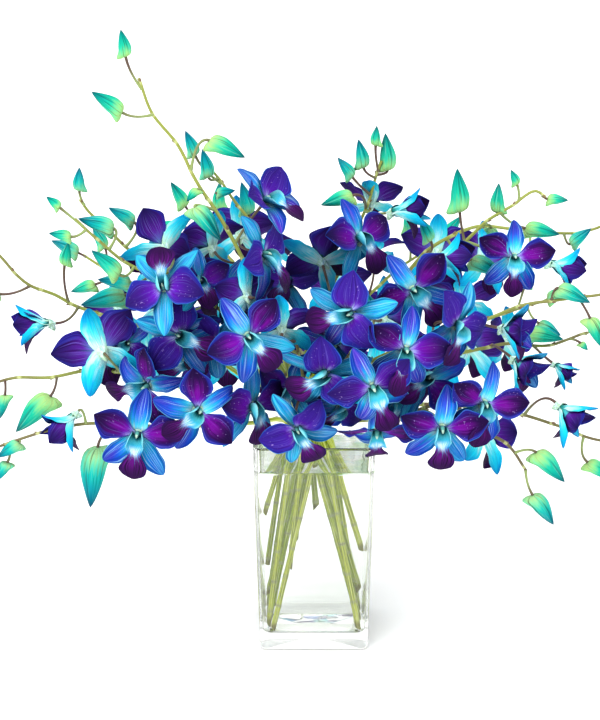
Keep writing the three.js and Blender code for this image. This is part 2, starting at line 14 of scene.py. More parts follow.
import bpy
import numpy as np
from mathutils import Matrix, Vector


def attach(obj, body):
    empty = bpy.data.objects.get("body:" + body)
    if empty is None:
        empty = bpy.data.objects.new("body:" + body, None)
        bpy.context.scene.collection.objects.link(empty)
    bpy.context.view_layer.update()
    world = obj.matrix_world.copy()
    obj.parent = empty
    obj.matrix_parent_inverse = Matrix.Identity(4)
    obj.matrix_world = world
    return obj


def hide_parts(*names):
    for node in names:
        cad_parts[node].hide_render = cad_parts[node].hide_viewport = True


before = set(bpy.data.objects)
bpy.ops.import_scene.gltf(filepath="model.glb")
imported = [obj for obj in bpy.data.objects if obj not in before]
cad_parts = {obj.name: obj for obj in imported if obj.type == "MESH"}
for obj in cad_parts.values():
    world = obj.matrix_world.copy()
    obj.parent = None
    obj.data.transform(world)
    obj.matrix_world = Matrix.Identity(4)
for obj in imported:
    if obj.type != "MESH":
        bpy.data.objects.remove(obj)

Colour = tuple[float, float, float]
Link = Any
Points = np.ndarray
Table = tuple[tuple[float, float], ...]
Rows = list[tuple[float, float]]
Stops = tuple[tuple[float, Colour], ...]
Rise = tuple[float, float]

MM = 0.001
UP = (0.0, 0.0, 1.0)
log = logging.getLogger("orchids")


class Slot(Enum):
    """The record's material slots."""

    PETAL = "petal"
    SEPAL = "sepal"
    LIP = "lip"
    BUD = "bud"
    STEM = "stem"
    GLASS = "vase_glass"
    WATER = "water"


class Ring(Enum):
    """The rings in which the stems pass the mouth of the vase: their radii in millimetres."""

    OUTER = 20.5
    INNER = 9.5
    CENTRE = 0.0


class Value:
    """A number that changes over a surface. An expression written with it adds Math nodes."""

    def __init__(self, graph: "Graph", socket: bpy.types.NodeSocket) -> None:
        """Wraps an output socket of a material's nodes."""
        self.graph = graph
        self.socket = socket

    def maths(self, operation: str, *others: "Value | float", first: bool = True) -> "Value":
        """Adds one Math node, with this number first or after the others."""
        order = (self, *others) if first else (*others, self)
        return self.graph.node("Math", {"operation": operation}, dict(enumerate(order)))

    def __add__(self, other: "Value | float") -> "Value":
        """Adds."""
        return self.maths("ADD", other)

    def __radd__(self, other: float) -> "Value":
        """Adds to a plain number."""
        return self.maths("ADD", other)

    def __sub__(self, other: "Value | float") -> "Value":
        """Subtracts."""
        return self.maths("SUBTRACT", other)

    def __rsub__(self, other: float) -> "Value":
        """Subtracts from a plain number."""
        return self.maths("SUBTRACT", other, first=False)

    def __mul__(self, other: "Value | float") -> "Value":
        """Multiplies."""
        return self.maths("MULTIPLY", other)

    def __rmul__(self, other: float) -> "Value":
        """Multiplies a plain number."""
        return self.maths("MULTIPLY", other)

    def __abs__(self) -> "Value":
        """Drops the sign."""
        return self.maths("ABSOLUTE")

    def step(self, low: float, high: float) -> "Value":
        """A smooth rise from 0 to 1.

        Args:
            low: Where it leaves 0.
            high: Where it reaches 1. It may be under low, and the step then falls.

        Returns:
            The share.
        """
        settings = {"interpolation_type": "SMOOTHSTEP"}
        sockets = {"Value": self, "From Min": min(low, high), "From Max": max(low, high)}
        if high < low:
            sockets |= {"To Min": 1.0, "To Max": 0.0}
        return self.graph.node("MapRange", settings, sockets)


class Graph:
    """A material and its nodes."""

    def __init__(self, name: str) -> None:
        """Starts a material.

        Args:
            name: The material's name.
        """
        self.material = bpy.data.materials.new(name)
        self.material.use_nodes = True
        self.tree = self.material.node_tree
        self.tree.nodes.clear()

    def node(self, kind: str, settings: dict[str, Any], sockets: dict[Any, Link],
             output: int | str | None = 0) -> Value | None:
        """Adds a node.

        Args:
            kind: The node's type, without the words ShaderNode.
            settings: What is set on it first. Stops are those of a colour ramp.
            sockets: The values or links of its inputs, by name or by number.
            output: The output that is wanted, or None for a node without one.

        Returns:
            That output.
        """
        made = self.tree.nodes.new("ShaderNode" + kind)
        for name, setting in settings.items():
            if name == "stops":
                self.set_stops(made.color_ramp, setting)
            else:
                setattr(made, name, setting)
        for name, link in sockets.items():
            self.feed(made.inputs[name], link)
        return None if output is None else Value(self, made.outputs[output])

    def feed(self, socket: bpy.types.NodeSocket, link: Link) -> None:
        """Links an input or sets its value.

        Args:
            socket: The input.
            link: A Value, or a plain number, colour or vector.
        """
        if isinstance(link, Value):
            self.tree.links.new(link.socket, socket)
        elif socket.type == "RGBA":
            socket.default_value = (*link, 1.0)
        else:
            socket.default_value = link

    @staticmethod
    def set_stops(ramp: bpy.types.ColorRamp, stops: Stops) -> None:
        """Sets the stops of a colour ramp.

        Args:
            ramp: The ramp.
            stops: Each stop's place and colour.
        """
        while len(ramp.elements) < len(stops):
            ramp.elements.new(0.5)
        for element, (place, colour) in zip(ramp.elements, stops):
            element.position = place
            element.color = (*colour, 1.0)

    def mix(self, share: Link, first: Link, second: Link, blend: str = "MIX") -> Value:
        """Lays a share of the second colour over the first."""
        settings = {"data_type": "RGBA", "blend_type": blend, "clamp_factor": True}
        return self.node("Mix", settings, {0: share, 6: first, 7: second}, output=2)

    def ramp(self, share: Value, stops: Stops) -> Value:
        """Turns a number into a colour, by stops of places and colours."""
        return self.node("ValToRGB", {"stops": stops}, {"Fac": share})

    def attribute(self, name: str, output: str = "Fac") -> Value:
        """Reads a mark kept on the mesh: Fac for a number, or Vector."""
        return self.node("Attribute", {"attribute_name": name}, {}, output=output)

    def stretch(self, place: Value, factors: tuple[float, float, float]) -> Value:
        """Multiplies a vector's parts by factors of their own."""
        return self.node("VectorMath", {"operation": "MULTIPLY"}, {0: place, 1: factors})

    def noise(self, place: Value, scale: float, detail: float = 2.0,
              roughness: float = 0.5) -> Value:
        """Soft noise between about 0.25 and 0.75, with finer layers in it."""
        return self.node("TexNoise", {}, {"Vector": place, "Scale": scale, "Detail": detail,
                                          "Roughness": roughness})

    def in_place(self) -> Value:
        """The place of a point in metres."""
        return self.node("TexCoord", {}, {}, output="Object")

    def bump(self, height: Value, depth: float, strength: float) -> Value:
        """Turns a height from 0 to 1 into a normal. The depth of 1 is in metres."""
        sockets = {"Height": height, "Distance": depth, "Strength": strength}
        return self.node("Bump", {}, sockets)

    def finish(self, sockets: dict[str, Link]) -> bpy.types.Material:
        """Ends the material in one Principled shader.

        Args:
            sockets: The shader's inputs.

        Returns:
            The material.
        """
        surface = self.node("BsdfPrincipled", {}, sockets)
        self.node("OutputMaterial", {}, {"Surface": surface}, output=None)
        return self.material


@dataclass(frozen=True)
class PaintedCrowdShade:
    """Painted shade: how colours darken in the bunch, deep in its middle and close to other blades
    (ambient occlusion), within a reach in metres. Openness is 1 in the open and 0 where all is
    shut."""

    painted_depth_shade_share: float = 0.75
    painted_depth_shade_tone: Colour = (0.10, 0.14, 0.24)
    samples: int = 4
    reach: float = 0.06
    open_from: float = 0.78
    shut_from: float = 0.14
    painted_crevice_shade_share: float = 0.95
    painted_crevice_shade_tone: Colour = (0.05, 0.09, 0.18)

    def paint_depth_shade(self, colour: Value) -> Value:
        """Paints shade on what lies deep in the bunch."""
        deep = colour.graph.attribute("deep") * self.painted_depth_shade_share
        return colour.graph.mix(deep, colour, self.painted_depth_shade_tone, "MULTIPLY")

    def paint_crowd_shade(self, colour: Value) -> Value:
        """Paints shade on what lies deep in the bunch or close to other blades.

        Args:
            colour: The colour in the open.

        Returns:
            The colour with its painted shade.
        """
        graph = colour.graph
        # Painted shade: ambient occlusion darkens the colour close to other blades.
        openness = graph.node("AmbientOcclusion", {"samples": self.samples},
                              {"Distance": self.reach}, output="AO")
        shut = openness.step(self.open_from, self.shut_from) * self.painted_crevice_shade_share
        return graph.mix(shut, self.paint_depth_shade(colour), self.painted_crevice_shade_tone, "MULTIPLY")


PAINTED_CROWD_SHADE = PaintedCrowdShade()


@dataclass(frozen=True)
class Grain:
    """Noise that is drawn out along the veins: its fineness round the part twice and along
    it, how many finer layers it has, and how strong they are."""

    fineness: tuple[float, float, float]
    detail: float = 3.0
    roughness: float = 0.5

    def read(self, graph: Graph) -> Value:
        """Reads the noise on a surface, between about 0.25 and 0.75."""
        flow = graph.attribute("flow", "Vector")
        return graph.noise(graph.stretch(flow, self.fineness), 1.0, self.detail, self.roughness)


@dataclass(frozen=True)
class Layer:
    """A colour laid over a part of a surface. Each rise says where its mark's share leaves 0
    and where it reaches 1, and the strength is the most that all of them come to."""

    colour: Colour
    rises: tuple[Rise, ...]
    strength: float = 1.0

    def cover(self, *marks: Value, streaks: Value | None = None) -> Value:
        """How much of the surface is covered.

        Args:
            marks: The mark of each rise.
            streaks: A share that breaks the layer up.

        Returns:
            The share.
        """
        shares = [mark.step(*rise) for mark, rise in zip(marks, self.rises, strict=True)]
        if streaks is not None:
            shares.append(streaks)
        share = math.prod(shares[1:], start=shares[0])
        return share if self.strength == 1.0 else share * self.strength

    def over(self, under: Link, *marks: Value, streaks: Value | None = None) -> Value:
        """Lays the colour over another one, with a mark for each rise."""
        return marks[0].graph.mix(self.cover(*marks, streaks=streaks), under, self.colour)


@dataclass(frozen=True)
class Sheen:
    """How a living part shines: a soft gloss over fine ridges along the veins."""

    specular: float
    roughness: float
    dulling: float = 0.2
    index: float = 1.42
    ridge: float = 0.0008
    ridge_strength: float = 0.6

    def finish(self, colour: Value, veins: Value, cloud: Value) -> bpy.types.Material:
        """Ends the material.

        Args:
            colour: The colour.
            veins: Noise along the veins, for the ridges.
            cloud: Broad noise, for the gloss.

        Returns:
            The material.
        """
        normal = veins.graph.bump(veins, self.ridge, self.ridge_strength)
        return veins.graph.finish({
            "Base Color": colour, "Roughness": self.roughness + cloud * self.dulling,
            "Specular IOR Level": self.specular, "IOR": self.index, "Normal": normal})


@dataclass(frozen=True)
class View:
    """How the flowers' places are given: as they are seen from the front, from far away and
    a little above."""

    distance: float = 2000.0
    fall: float = 18.0
    centre: tuple[float, float, float] = (-11.5, 0.0, 239.6)
    frame_height: float = 590.4
    sensor: float = 36.0

    def place(self, across: float, up: float, depth: float) -> Points:
        """Turns a place in the view into a place in the frame.

        Args:
            across: Millimetres to the right of the middle of the view.
            up: Millimetres above it.
            depth: Millimetres behind the axis of the vase.

        Returns:
            The point, in millimetres.
        """
        level, drop = math.cos(math.radians(self.fall)), math.sin(math.radians(self.fall))
        away = self.distance + depth * level
        rise = (up * away - self.distance * depth * drop) / (self.distance * level + up * drop)
        reach = away - rise * drop
        return np.array([self.centre[0] + across * reach / self.distance, depth,
                         self.centre[2] + rise])

    def camera(self) -> None:
        """Makes the camera that sees the view."""
        data = bpy.data.cameras.new("front")
        data.sensor_fit = "VERTICAL"
        data.sensor_height = self.sensor
        data.lens = data.sensor_height * self.distance / self.frame_height
        camera = bpy.data.objects.new("front", data)
        fall = math.radians(self.fall)
        away = Vector((0.0, -math.cos(fall), math.sin(fall))) * self.distance
        camera.location = (Vector(self.centre) + away) * MM
        camera.rotation_euler = (math.pi / 2 - fall, 0.0, 0.0)
        bpy.context.collection.objects.link(camera)
        bpy.context.scene.camera = camera


VIEW = View()


# Keeps a sum or a length from being nothing where it divides
TINY = 1e-12


def unit(vector: Points) -> Points:
    """Gives a vector the length 1."""
    return vector / np.linalg.norm(vector)


def direction(turn: float, rise: float) -> Points:
    """A direction from its angles.

    Args:
        turn: Degrees to the right of the viewer.
        rise: Degrees above level.

    Returns:
        The direction.
    """
    level = math.cos(math.radians(rise))
    return np.array([math.sin(math.radians(turn)) * level,
                     -math.cos(math.radians(turn)) * level, math.sin(math.radians(rise))])


def flower_axes(gaze: Points, roll: float) -> Points:
    """A flower's axes.

    Args:
        gaze: Where it faces.
        roll: Degrees that it leans to its right.

    Returns:
        Rows for its right, its top and its gaze.
    """
    top = unit(np.array(UP) - gaze * gaze[2])
    right = np.cross(top, gaze)
    lean = math.radians(-roll)
    return np.array([right * math.cos(lean) + top * math.sin(lean),
                     top * math.cos(lean) - right * math.sin(lean), gaze])


# How far apart the angles of two flowers, and of two uses, lie in the variation
FLOWER_STRIDE = 12.9898
SALT_STRIDE = 78.233


def vary(flower: float, salt: float) -> float:
    """A number between -1 and 1 that is always the same for one flower and one use."""
    return math.sin(flower * FLOWER_STRIDE + salt * SALT_STRIDE)


class Salt(Enum):
    """Keeps the variation of one use apart from that of another."""

    BLOOM_TINT = 3.3
    BUD_TINT = 91.7
    STEM_TINT = 12.1
    PEDICEL_TINT = 45.3
    JOINTS = 5.0
    GIRTH = 31.0
    CUT = 8.0
    BRACT_ACROSS = 2.0
    BRACT_DEEP = 4.0

    def of(self, number: int) -> float:
        """The number between -1 and 1 of one part."""
        return vary(number, self.value)

    def share(self, number: int) -> float:
        """The number between 0 and 1 of one part."""
        return 0.5 + 0.5 * self.of(number)


class Trait(Enum):
    """What varies from blade to blade: its salt, and how far it goes to each side."""

    ANGLE = (0, 7.0)
    LENGTH = (10, 0.07)
    START = (20, 8.0)
    END = (30, 18.0)
    TWIST = (40, 16.0)
    SWAY = (50, 2.2)
    CUP = (60, 0.12)
    SHADE = (70, 0.5)
    BREADTH = (80, 0.1)
    BLUNTNESS = (90, 0.16)

    def of(self, flower: int, arm: int, looseness: float = 1.0) -> float:
        """How far one blade is off the middle. A looser one is further off."""
        salt, spread = self.value
        return spread * looseness * vary(flower, arm + salt)


def cubic(start: Points, end: Points, leave: Points, arrive: Points, share: Points) -> Points:
    """A smooth way from one value to another, with a slope at each end."""
    return (start + leave * share + (3 * (end - start) - 2 * leave - arrive) * share**2
            + (2 * (start - end) + leave + arrive) * share**3)


# Points from one known point of a curve to the next
CURVE_STEPS = 41


def curve_through(points: Sequence[Points], spacing: float) -> Points:
    """A smooth curve through points, in even steps.

    Args:
        points: The points.
        spacing: The step.

    Returns:
        The curve's points.
    """
    known = [2 * points[0] - points[1], *points, 2 * points[-1] - points[-2]]
    share = np.linspace(0.0, 1.0, CURVE_STEPS)[:, None]
    dense = [cubic(start, end, (end - before) / 2, (after - start) / 2, share)
             for before, start, end, after in zip(known, known[1:], known[2:], known[3:])]
    return evenly(np.concatenate(dense), spacing)


def evenly(path: Points, spacing: float) -> Points:
    """Points at even steps on a path.

    Args:
        path: The path's points.
        spacing: The step, nearly.

    Returns:
        The new points.
    """
    walked = lengths_along(path)
    count = max(int(round(walked[-1] / spacing)), 2)
    stops = np.linspace(0.0, walked[-1], count + 1)
    return np.stack([np.interp(stops, walked, path[:, axis]) for axis in range(3)], axis=1)


def lengths_along(path: Points) -> Points:
    """The length walked at each point of a path."""
    steps = np.linalg.norm(np.diff(path, axis=0), axis=1)
    return np.concatenate([[0.0], np.cumsum(steps)])


# A direction that no stem starts in
ASKEW = (0.31, 0.93, 0.2)


def path_frames(path: Points) -> tuple[Points, Points]:
    """Two directions square to a path, that don't spin round it.

    Args:
        path: The path's points.

    Returns:
        The two directions at each point.
    """
    ahead = np.gradient(path, axis=0)
    ahead /= np.linalg.norm(ahead, axis=1)[:, None]
    side = unit(np.cross(ahead[0], ASKEW))
    sides = []
    for way in ahead:
        side = unit(side - way * side.dot(way))
        sides.append(side)
    sides = np.array(sides)
    return sides, np.cross(ahead, sides)


MARKS = ("along", "across", "front", "tint", "shade")


@dataclass(frozen=True)
class PaintedShadeThicket:
    """The crowded middle of the bunch, where shade is painted, in millimetres: its centre, its
    reach along each axis, and how it thins out at its edge and at the mouth of the vase."""

    centre: tuple[float, float, float] = (-11.0, -10.0, 290.0)
    reach: tuple[float, float, float] = (150.0, 120.0, 95.0)
    edge: float = 0.95
    thinning: float = 0.5
    mouth: float = 185.0
    mouth_thinning: float = 25.0

    def depth(self, points: Points) -> Points:
        """How deep points lie in the bunch, which sets how much shade is painted on them.

        Args:
            points: One row for each point.

        Returns:
            1 in its middle and 0 outside it.
        """
        away = np.linalg.norm((points - self.centre) / self.reach, axis=1)
        share = np.clip((self.edge - away) / self.thinning, 0.0, 1.0)
        above = np.clip((points[:, 2] - self.mouth) / self.mouth_thinning, 0.0, 1.0)
        return share * share * (3 - 2 * share) * above


PAINTED_SHADE_THICKET = PaintedShadeThicket()


class Skin:
    """A mesh while it is being made, in millimetres, with the marks that the finishes read."""

    def __init__(self) -> None:
        """Starts with nothing."""
        self.points: list[Points] = []
        self.faces: list[Points] = []
        self.marks: dict[str, list[Points]] = {name: [] for name in (*MARKS, "flow")}
        self.count = 0

    def add(self, points: Points, faces: Points, flow: Points, **marks: Points | float) -> None:
        """Adds points and faces.

        Args:
            points: One row for each point.
            faces: Rows of three or four indices into these points.
            flow: Coordinates that change slowly along the grain, one row for each point.
            marks: The marks' values.
        """
        if faces.shape[1] == 4:
            faces = np.concatenate([faces[:, [0, 1, 2]], faces[:, [0, 2, 3]]])
        self.points.append(points)
        self.faces.append(faces + self.count)
        self.marks["flow"].append(flow)
        for name in MARKS:
            value = np.broadcast_to(np.asarray(marks.get(name, 0.0), dtype=float), (len(points),))
            self.marks[name].append(value)
        self.count += len(points)

    def piece(self, name: str, material: bpy.types.Material, slot: Slot,
              nodes: Iterable[str], crease: float = 50.0) -> bpy.types.Object:
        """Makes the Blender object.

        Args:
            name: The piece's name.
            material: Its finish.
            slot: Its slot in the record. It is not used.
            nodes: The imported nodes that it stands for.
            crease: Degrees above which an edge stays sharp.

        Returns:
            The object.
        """
        mesh = bpy.data.meshes.new(name)
        points, faces = np.concatenate(self.points), np.concatenate(self.faces)
        mesh.from_pydata((points * MM).tolist(), [], faces.tolist())
        # How deep each point lies in the bunch, for the painted shade.
        deep = mesh.attributes.new("deep", "FLOAT", "POINT")
        deep.data.foreach_set("value", PAINTED_SHADE_THICKET.depth(points).astype(np.float32))
        for mark in MARKS:
            values = np.concatenate(self.marks[mark]).astype(np.float32)
            mesh.attributes.new(mark, "FLOAT", "POINT").data.foreach_set("value", values)
        flow = np.concatenate(self.marks["flow"]).astype(np.float32).ravel()
        mesh.attributes.new("flow", "FLOAT_VECTOR", "POINT").data.foreach_set("vector", flow)
        mesh.shade_smooth()
        mesh.set_sharp_from_angle(angle=math.radians(crease))
        mesh.materials.append(material)
        made = bpy.data.objects.new(name, mesh)
        bpy.context.collection.objects.link(made)
        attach(made, "root")
        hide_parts(*nodes)
        log.info("%s: %d triangles", name, len(faces))
        return made


def tube_faces(rings: int, sides: int) -> Points:
    """The faces of a tube, with a flat cap at each end.

    Args:
        rings: How many rings it has.
        sides: How many corners a ring has.

    Returns:
        The faces. The two caps' middles come after the rings.
    """
    ring, side = np.meshgrid(np.arange(rings - 1), np.arange(sides), indexing="ij")
    ring, side = ring.ravel(), side.ravel()
    after = (side + 1) % sides
    here, above = ring * sides, (ring + 1) * sides
    walls = np.concatenate([
        np.stack([here + side, here + after, above + after], axis=1),
        np.stack([here + side, above + after, above + side], axis=1)])
    corner = np.arange(sides)
    beside = (corner + 1) % sides
    low, high, last = rings * sides, rings * sides + 1, (rings - 1) * sides
    caps = np.concatenate([
        np.stack([np.full(sides, low), beside, corner], axis=1),
        np.stack([np.full(sides, high), last + corner, last + beside], axis=1)])
    return np.concatenate([walls, caps])


def add_tube(skin: Skin, path: Points, radii: Points, sides: int, grain: float,
             slant: float = 0.0, **marks: Points | float) -> None:
    """Adds a closed tube along a path.

    Args:
        skin: The mesh.
        path: The middles of its rings.
        radii: Their radii.
        sides: The corners of a ring.
        grain: How fast the grain changes along it, for each millimetre.
        slant: How far its first end is cut aslant, as a share of its radius.
        marks: The marks' values, one for each ring or one for all.
    """
    side, up = path_frames(path)
    angles = np.arange(sides) * 2 * math.pi / sides
    spokes = side[:, None] * np.cos(angles)[:, None] + up[:, None] * np.sin(angles)[:, None]
    points = path[:, None] + spokes * np.asarray(radii)[:, None, None]
    points[0] += unit(path[1] - path[0]) * (slant * radii[0] * np.cos(angles))[:, None]
    points = np.concatenate([points.reshape(-1, 3), path[:1], path[-1:]])
    walked = lengths_along(path) * grain
    around = np.stack(np.broadcast_arrays(np.cos(angles), np.sin(angles), walked[:, None]), axis=2)
    ends = np.array([[0.0, 0.0, walked[0]], [0.0, 0.0, walked[-1]]])
    spread = {}
    for name, value in marks.items():
        rows = np.broadcast_to(np.asarray(value, dtype=float), (len(path),))
        spread[name] = np.concatenate([np.repeat(rows, sides), rows[:1], rows[-1:]])
    flow = np.concatenate([around.reshape(-1, 3), ends])
    skin.add(points, tube_faces(len(path), sides), flow, **spread)


@dataclass(frozen=True)
class Wave:
    """Where the crests of a wave along a blade lie: how far they run aslant, and how fast
    they move with the seed."""

    lean: float
    stride: float

    def at(self, turn: Points, across: Points, seed: float) -> Points:
        """The wave's height, from -1 to 1, where it has turned so far along the blade."""
        return np.sin(turn + across * self.lean + seed * self.stride)


SCALLOPS = Wave(2.0, 7.9)
RUFFLES = Wave(1.7, 5.1)
RIPPLES = Wave(-2.1, 2.3)


@dataclass(frozen=True)
class Bend:
    """How one blade stands on its flower. The angles are in degrees."""

    angle: float
    length: float
    start: float
    end: float
    twist: float = 0.0
    sway: float = 0.0
    cup: float = 0.0
    forward: float = 0.0
    breadth: float = 1.0
    bluntness: float = 0.0


# How far apart the seeds of two flowers, and of two of their blades, lie
SHAPE_STRIDES = (17.0, 31.0)
GRAIN_STRIDES = (40.0, 11.0)


@dataclass(frozen=True)
class Stance:
    """Where a flower or a bract stands: its axes, its middle, its size and its colour share."""

    axes: Points
    middle: Points
    size: float
    tint: float

    def place(self, points: Points) -> Points:
        """Moves points from the flower's own axes to where it stands."""
        return points @ self.axes * self.size + self.middle

    def seed(self, shade: float, strides: tuple[float, float]) -> float:
        """The seed of one blade, from the flower's and the blade's colour shares."""
        return self.tint * strides[0] + shade * strides[1]


# The least arc of a blade's cross section, in radians, that is told from a flat one
FLAT = 1e-3


@dataclass(frozen=True)
class Blade:
    """A petal, a sepal or a lip: a thin curved leaf that starts in the middle of its flower.

    The outline is given as shares of the half width at shares of the length, and the fold as
    shares of the cup. Both halves differ a little. The flow is the scale of the grain.
    """

    length: float
    width: float
    start: float
    end: float
    cup: float
    outline: Table
    fold: Table = ((0.0, 1.0), (1.0, 1.0))
    thickness: float = 0.7
    rim: float = 0.25
    ruffle: float = 1.5
    ruffle_power: float = 2.5
    ripple: float = 0.4
    scallop: float = 0.035
    scallops: float = 2.7
    waves: float = 1.5
    finer: float = 2.3
    uneven: float = 0.09
    uneven_stride: float = 3.3
    groove: float = 0.4
    groove_width: float = 0.16
    swell_reach: float = 1.05
    even_rows: float = 0.6
    crowding: float = 1.35
    side_thinning: int = 4
    tip_thinning: int = 6
    flow_across: float = 20.0
    flow_along: float = 0.5
    rows: int = 20
    columns: int = 12

    def surface(self, bend: Bend, seed: float) -> tuple[Points, Points, Points]:
        """Works out the blade's middle surface.

        Args:
            bend: How the blade stands.
            seed: What its small waves follow.

        Returns:
            Its points in the flower's axes, its normals, and the shares of the length and of
            the half width at each.
        """
        even = np.linspace(0.0, 1.0, self.rows + 1)
        eased = (1 - self.even_rows) * (1 - np.cos(math.pi * even)) / 2
        along = (self.even_rows * even + eased)[:, None]
        spread = np.linspace(-1.0, 1.0, self.columns + 1) * self.crowding
        across = np.sin(spread)[None, :] / math.sin(self.crowding)
        turn = 2 * math.pi
        widest = along ** (1 + bend.bluntness)
        tilt = self.uneven * np.sin(seed * self.uneven_stride)
        uneven = 1 + tilt * np.sign(across) * np.sin(math.pi * along)
        crests = SCALLOPS.at(turn * self.scallops * along, across, seed)
        outline = self.width / 2 * bend.breadth * smooth_table(self.outline, widest)
        half = outline * uneven * (1 + self.scallop * crests)
        arc = np.maximum(2 * (self.cup + bend.cup) * smooth_table(self.fold, along), FLAT)
        aside = half * np.sin(across * arc) / arc
        lift = half * (1 - np.cos(across * arc)) / arc
        swell = np.sin(math.pi * np.clip(along * self.swell_reach, 0, 1))
        wave = RUFFLES.at(turn * self.waves * along, across, seed)
        finer = RIPPLES.at(turn * self.finer * self.waves * along, across, seed)
        wave = wave + self.ripple * finer
        lift = lift + self.ruffle * np.abs(across) ** self.ruffle_power * wave * swell
        lift = lift - self.groove * np.exp(-(across / self.groove_width) ** 2) * swell
        aside = aside + bend.sway * along**2
        turn = math.radians(bend.twist) * along
        aside, lift = (aside * np.cos(turn) - lift * np.sin(turn),
                       aside * np.sin(turn) + lift * np.cos(turn))
        curl = math.radians(bend.end - bend.start)
        slope = math.radians(bend.start) + curl * along
        middle = math.radians(bend.start) + curl * along / 2
        run = along * bend.length
        out = run * np.cos(middle) - lift * np.sin(slope)
        forward = run * np.sin(middle) + lift * np.cos(slope) + bend.forward
        angle = math.radians(bend.angle)
        points = np.stack([out * math.cos(angle) - aside * math.sin(angle),
                           out * math.sin(angle) + aside * math.cos(angle), forward], axis=2)
        grid = np.stack(np.broadcast_arrays(along, across), axis=2)
        return points, grid_normals(points), grid

    def add(self, skin: Skin, bend: Bend, stance: Stance, shade: float) -> None:
        """Adds the blade to a mesh.

        Args:
            skin: The mesh.
            bend: How the blade stands.
            stance: Where its flower stands.
            shade: The blade's own colour share.
        """
        points, normals, grid = self.surface(bend, stance.seed(shade, SHAPE_STRIDES))
        along, across = grid[..., 0], grid[..., 1]
        fuller = (self.thickness - self.rim) * (1 - np.abs(across) ** self.side_thinning)
        body = self.rim + fuller * (1 - along**self.tip_thinning)
        front = points + normals * body[..., None] / 2
        back = points - normals * body[..., None] / 2
        both = np.concatenate([front.reshape(-1, 3), back.reshape(-1, 3)])
        seeds = np.full(along.shape, stance.seed(shade, GRAIN_STRIDES))
        flow = np.stack([across * self.width / self.flow_across, seeds, along * self.flow_along],
                        axis=2).reshape(-1, 3)
        skin.add(
            stance.place(both), sheet_faces(self.rows, self.columns), np.tile(flow, (2, 1)),
            along=np.tile(along.ravel(), 2), across=np.tile(across.ravel(), 2),
            front=np.repeat([1.0, 0.0], along.size), tint=stance.tint, shade=shade)


def smooth_table(table: Table, place: Points) -> Points:
    """Reads a table of values smoothly, without passing beyond them.

    Args:
        table: Places, rising, and values.
        place: Where it is read.

    Returns:
        The values there.
    """
    where, what = np.array(table).T
    gaps = np.diff(where)
    rates = np.diff(what) / gaps
    slopes = np.zeros(len(what))
    rising = rates[1:] * rates[:-1] > 0
    sums = rates[1:] + rates[:-1] + TINY
    slopes[1:-1][rising] = (2 * rates[1:] * rates[:-1] / sums)[rising]
    slopes[0], slopes[-1] = rates[0], rates[-1]
    index = np.clip(np.searchsorted(where, place, side="right") - 1, 0, len(gaps) - 1)
    share = (place - where[index]) / gaps[index]
    return cubic(what[index], what[index + 1], slopes[index] * gaps[index],
                 slopes[index + 1] * gaps[index], share)


def grid_normals(points: Points) -> Points:
    """The normals of a grid of points.

    Args:
        points: The grid, with a place in its last axis.

    Returns:
        A normal of length 1 at each point.
    """
    normals = np.cross(np.gradient(points, axis=0), np.gradient(points, axis=1))
    lengths = np.linalg.norm(normals, axis=2)[..., None]
    return normals / np.maximum(lengths, TINY)


def sheet_faces(rows: int, columns: int) -> Points:
    """The faces of a thin sheet with a front, a back and a rim.

    Args:
        rows: Its steps along.
        columns: Its steps across.

    Returns:
        The faces.
    """
    wide = columns + 1
    row, column = np.meshgrid(np.arange(rows), np.arange(columns), indexing="ij")
    corner = (row * wide + column).ravel()
    front = np.stack([corner, corner + wide, corner + wide + 1, corner + 1], axis=1)
    behind = (rows + 1) * wide
    back = front[:, ::-1] + behind
    low, high = np.arange(wide), rows * wide + np.arange(wide)
    left, right = np.arange(rows + 1) * wide, np.arange(rows + 1) * wide + columns
    border = np.concatenate([low, right[1:], high[::-1][1:], left[::-1][1:-1]])
    after = np.roll(border, -1)
    rim = np.stack([border, after, after + behind, border + behind], axis=1)
    return np.concatenate([front, back, rim])


# The flowers' blades and the stems' bracts, in millimetres and degrees
PETAL = Blade(
    length=35, width=28.5, start=24, end=-14, cup=0.16,
    outline=((0, 0.12), (0.1, 0.2), (0.22, 0.48), (0.36, 0.82), (0.48, 0.98), (0.56, 1.0),
             (0.68, 0.9), (0.8, 0.66), (0.9, 0.38), (0.97, 0.14), (1, 0.03)))
SEPAL = Blade(
    length=36, width=16.5, start=12, end=-26, cup=0.24,
    outline=((0, 0.42), (0.12, 0.62), (0.3, 0.87), (0.5, 1.0), (0.68, 0.95), (0.82, 0.72),
             (0.92, 0.44), (0.98, 0.2), (1, 0.06)),
    ruffle=0.9, rows=18, columns=10)
LIP = Blade(
    length=34, width=21.5, start=61, end=-32, cup=0.5,
    outline=((0, 0.45), (0.1, 0.85), (0.22, 1.12), (0.33, 0.95), (0.43, 0.52), (0.5, 0.5),
             (0.62, 0.82), (0.74, 1.0), (0.86, 0.82), (0.95, 0.42), (1, 0.08)),
    fold=((0, 1.6), (0.14, 2.2), (0.28, 2.0), (0.4, 1.1), (0.55, 0.42), (1, 0.25)),
    ruffle=1.1, waves=2.2, rows=24, columns=14)
BRACT = Blade(
    length=6, width=6, start=-2, end=14, cup=0.55,
    outline=((0, 0.7), (0.4, 1.0), (0.8, 0.5), (1, 0.06)),
    thickness=0.6, ruffle=0.1, groove=0.0, rows=5, columns=4)


@dataclass(frozen=True)
class Bloom:
    """One open flower: its middle as it is seen from the front, where it faces and how far
    it leans in degrees, its size, and how far it is still closed."""

    across: float
    up: float
    depth: float
    turn: float
    rise: float
    roll: float
    size: float
    closed: float = 0.0

    @property
    def hub(self) -> Points:
        """The middle of the flower."""
        return VIEW.place(self.across, self.up, self.depth)

    @property
    def gaze(self) -> Points:
        """Where the flower faces."""
        return direction(self.turn, self.rise)


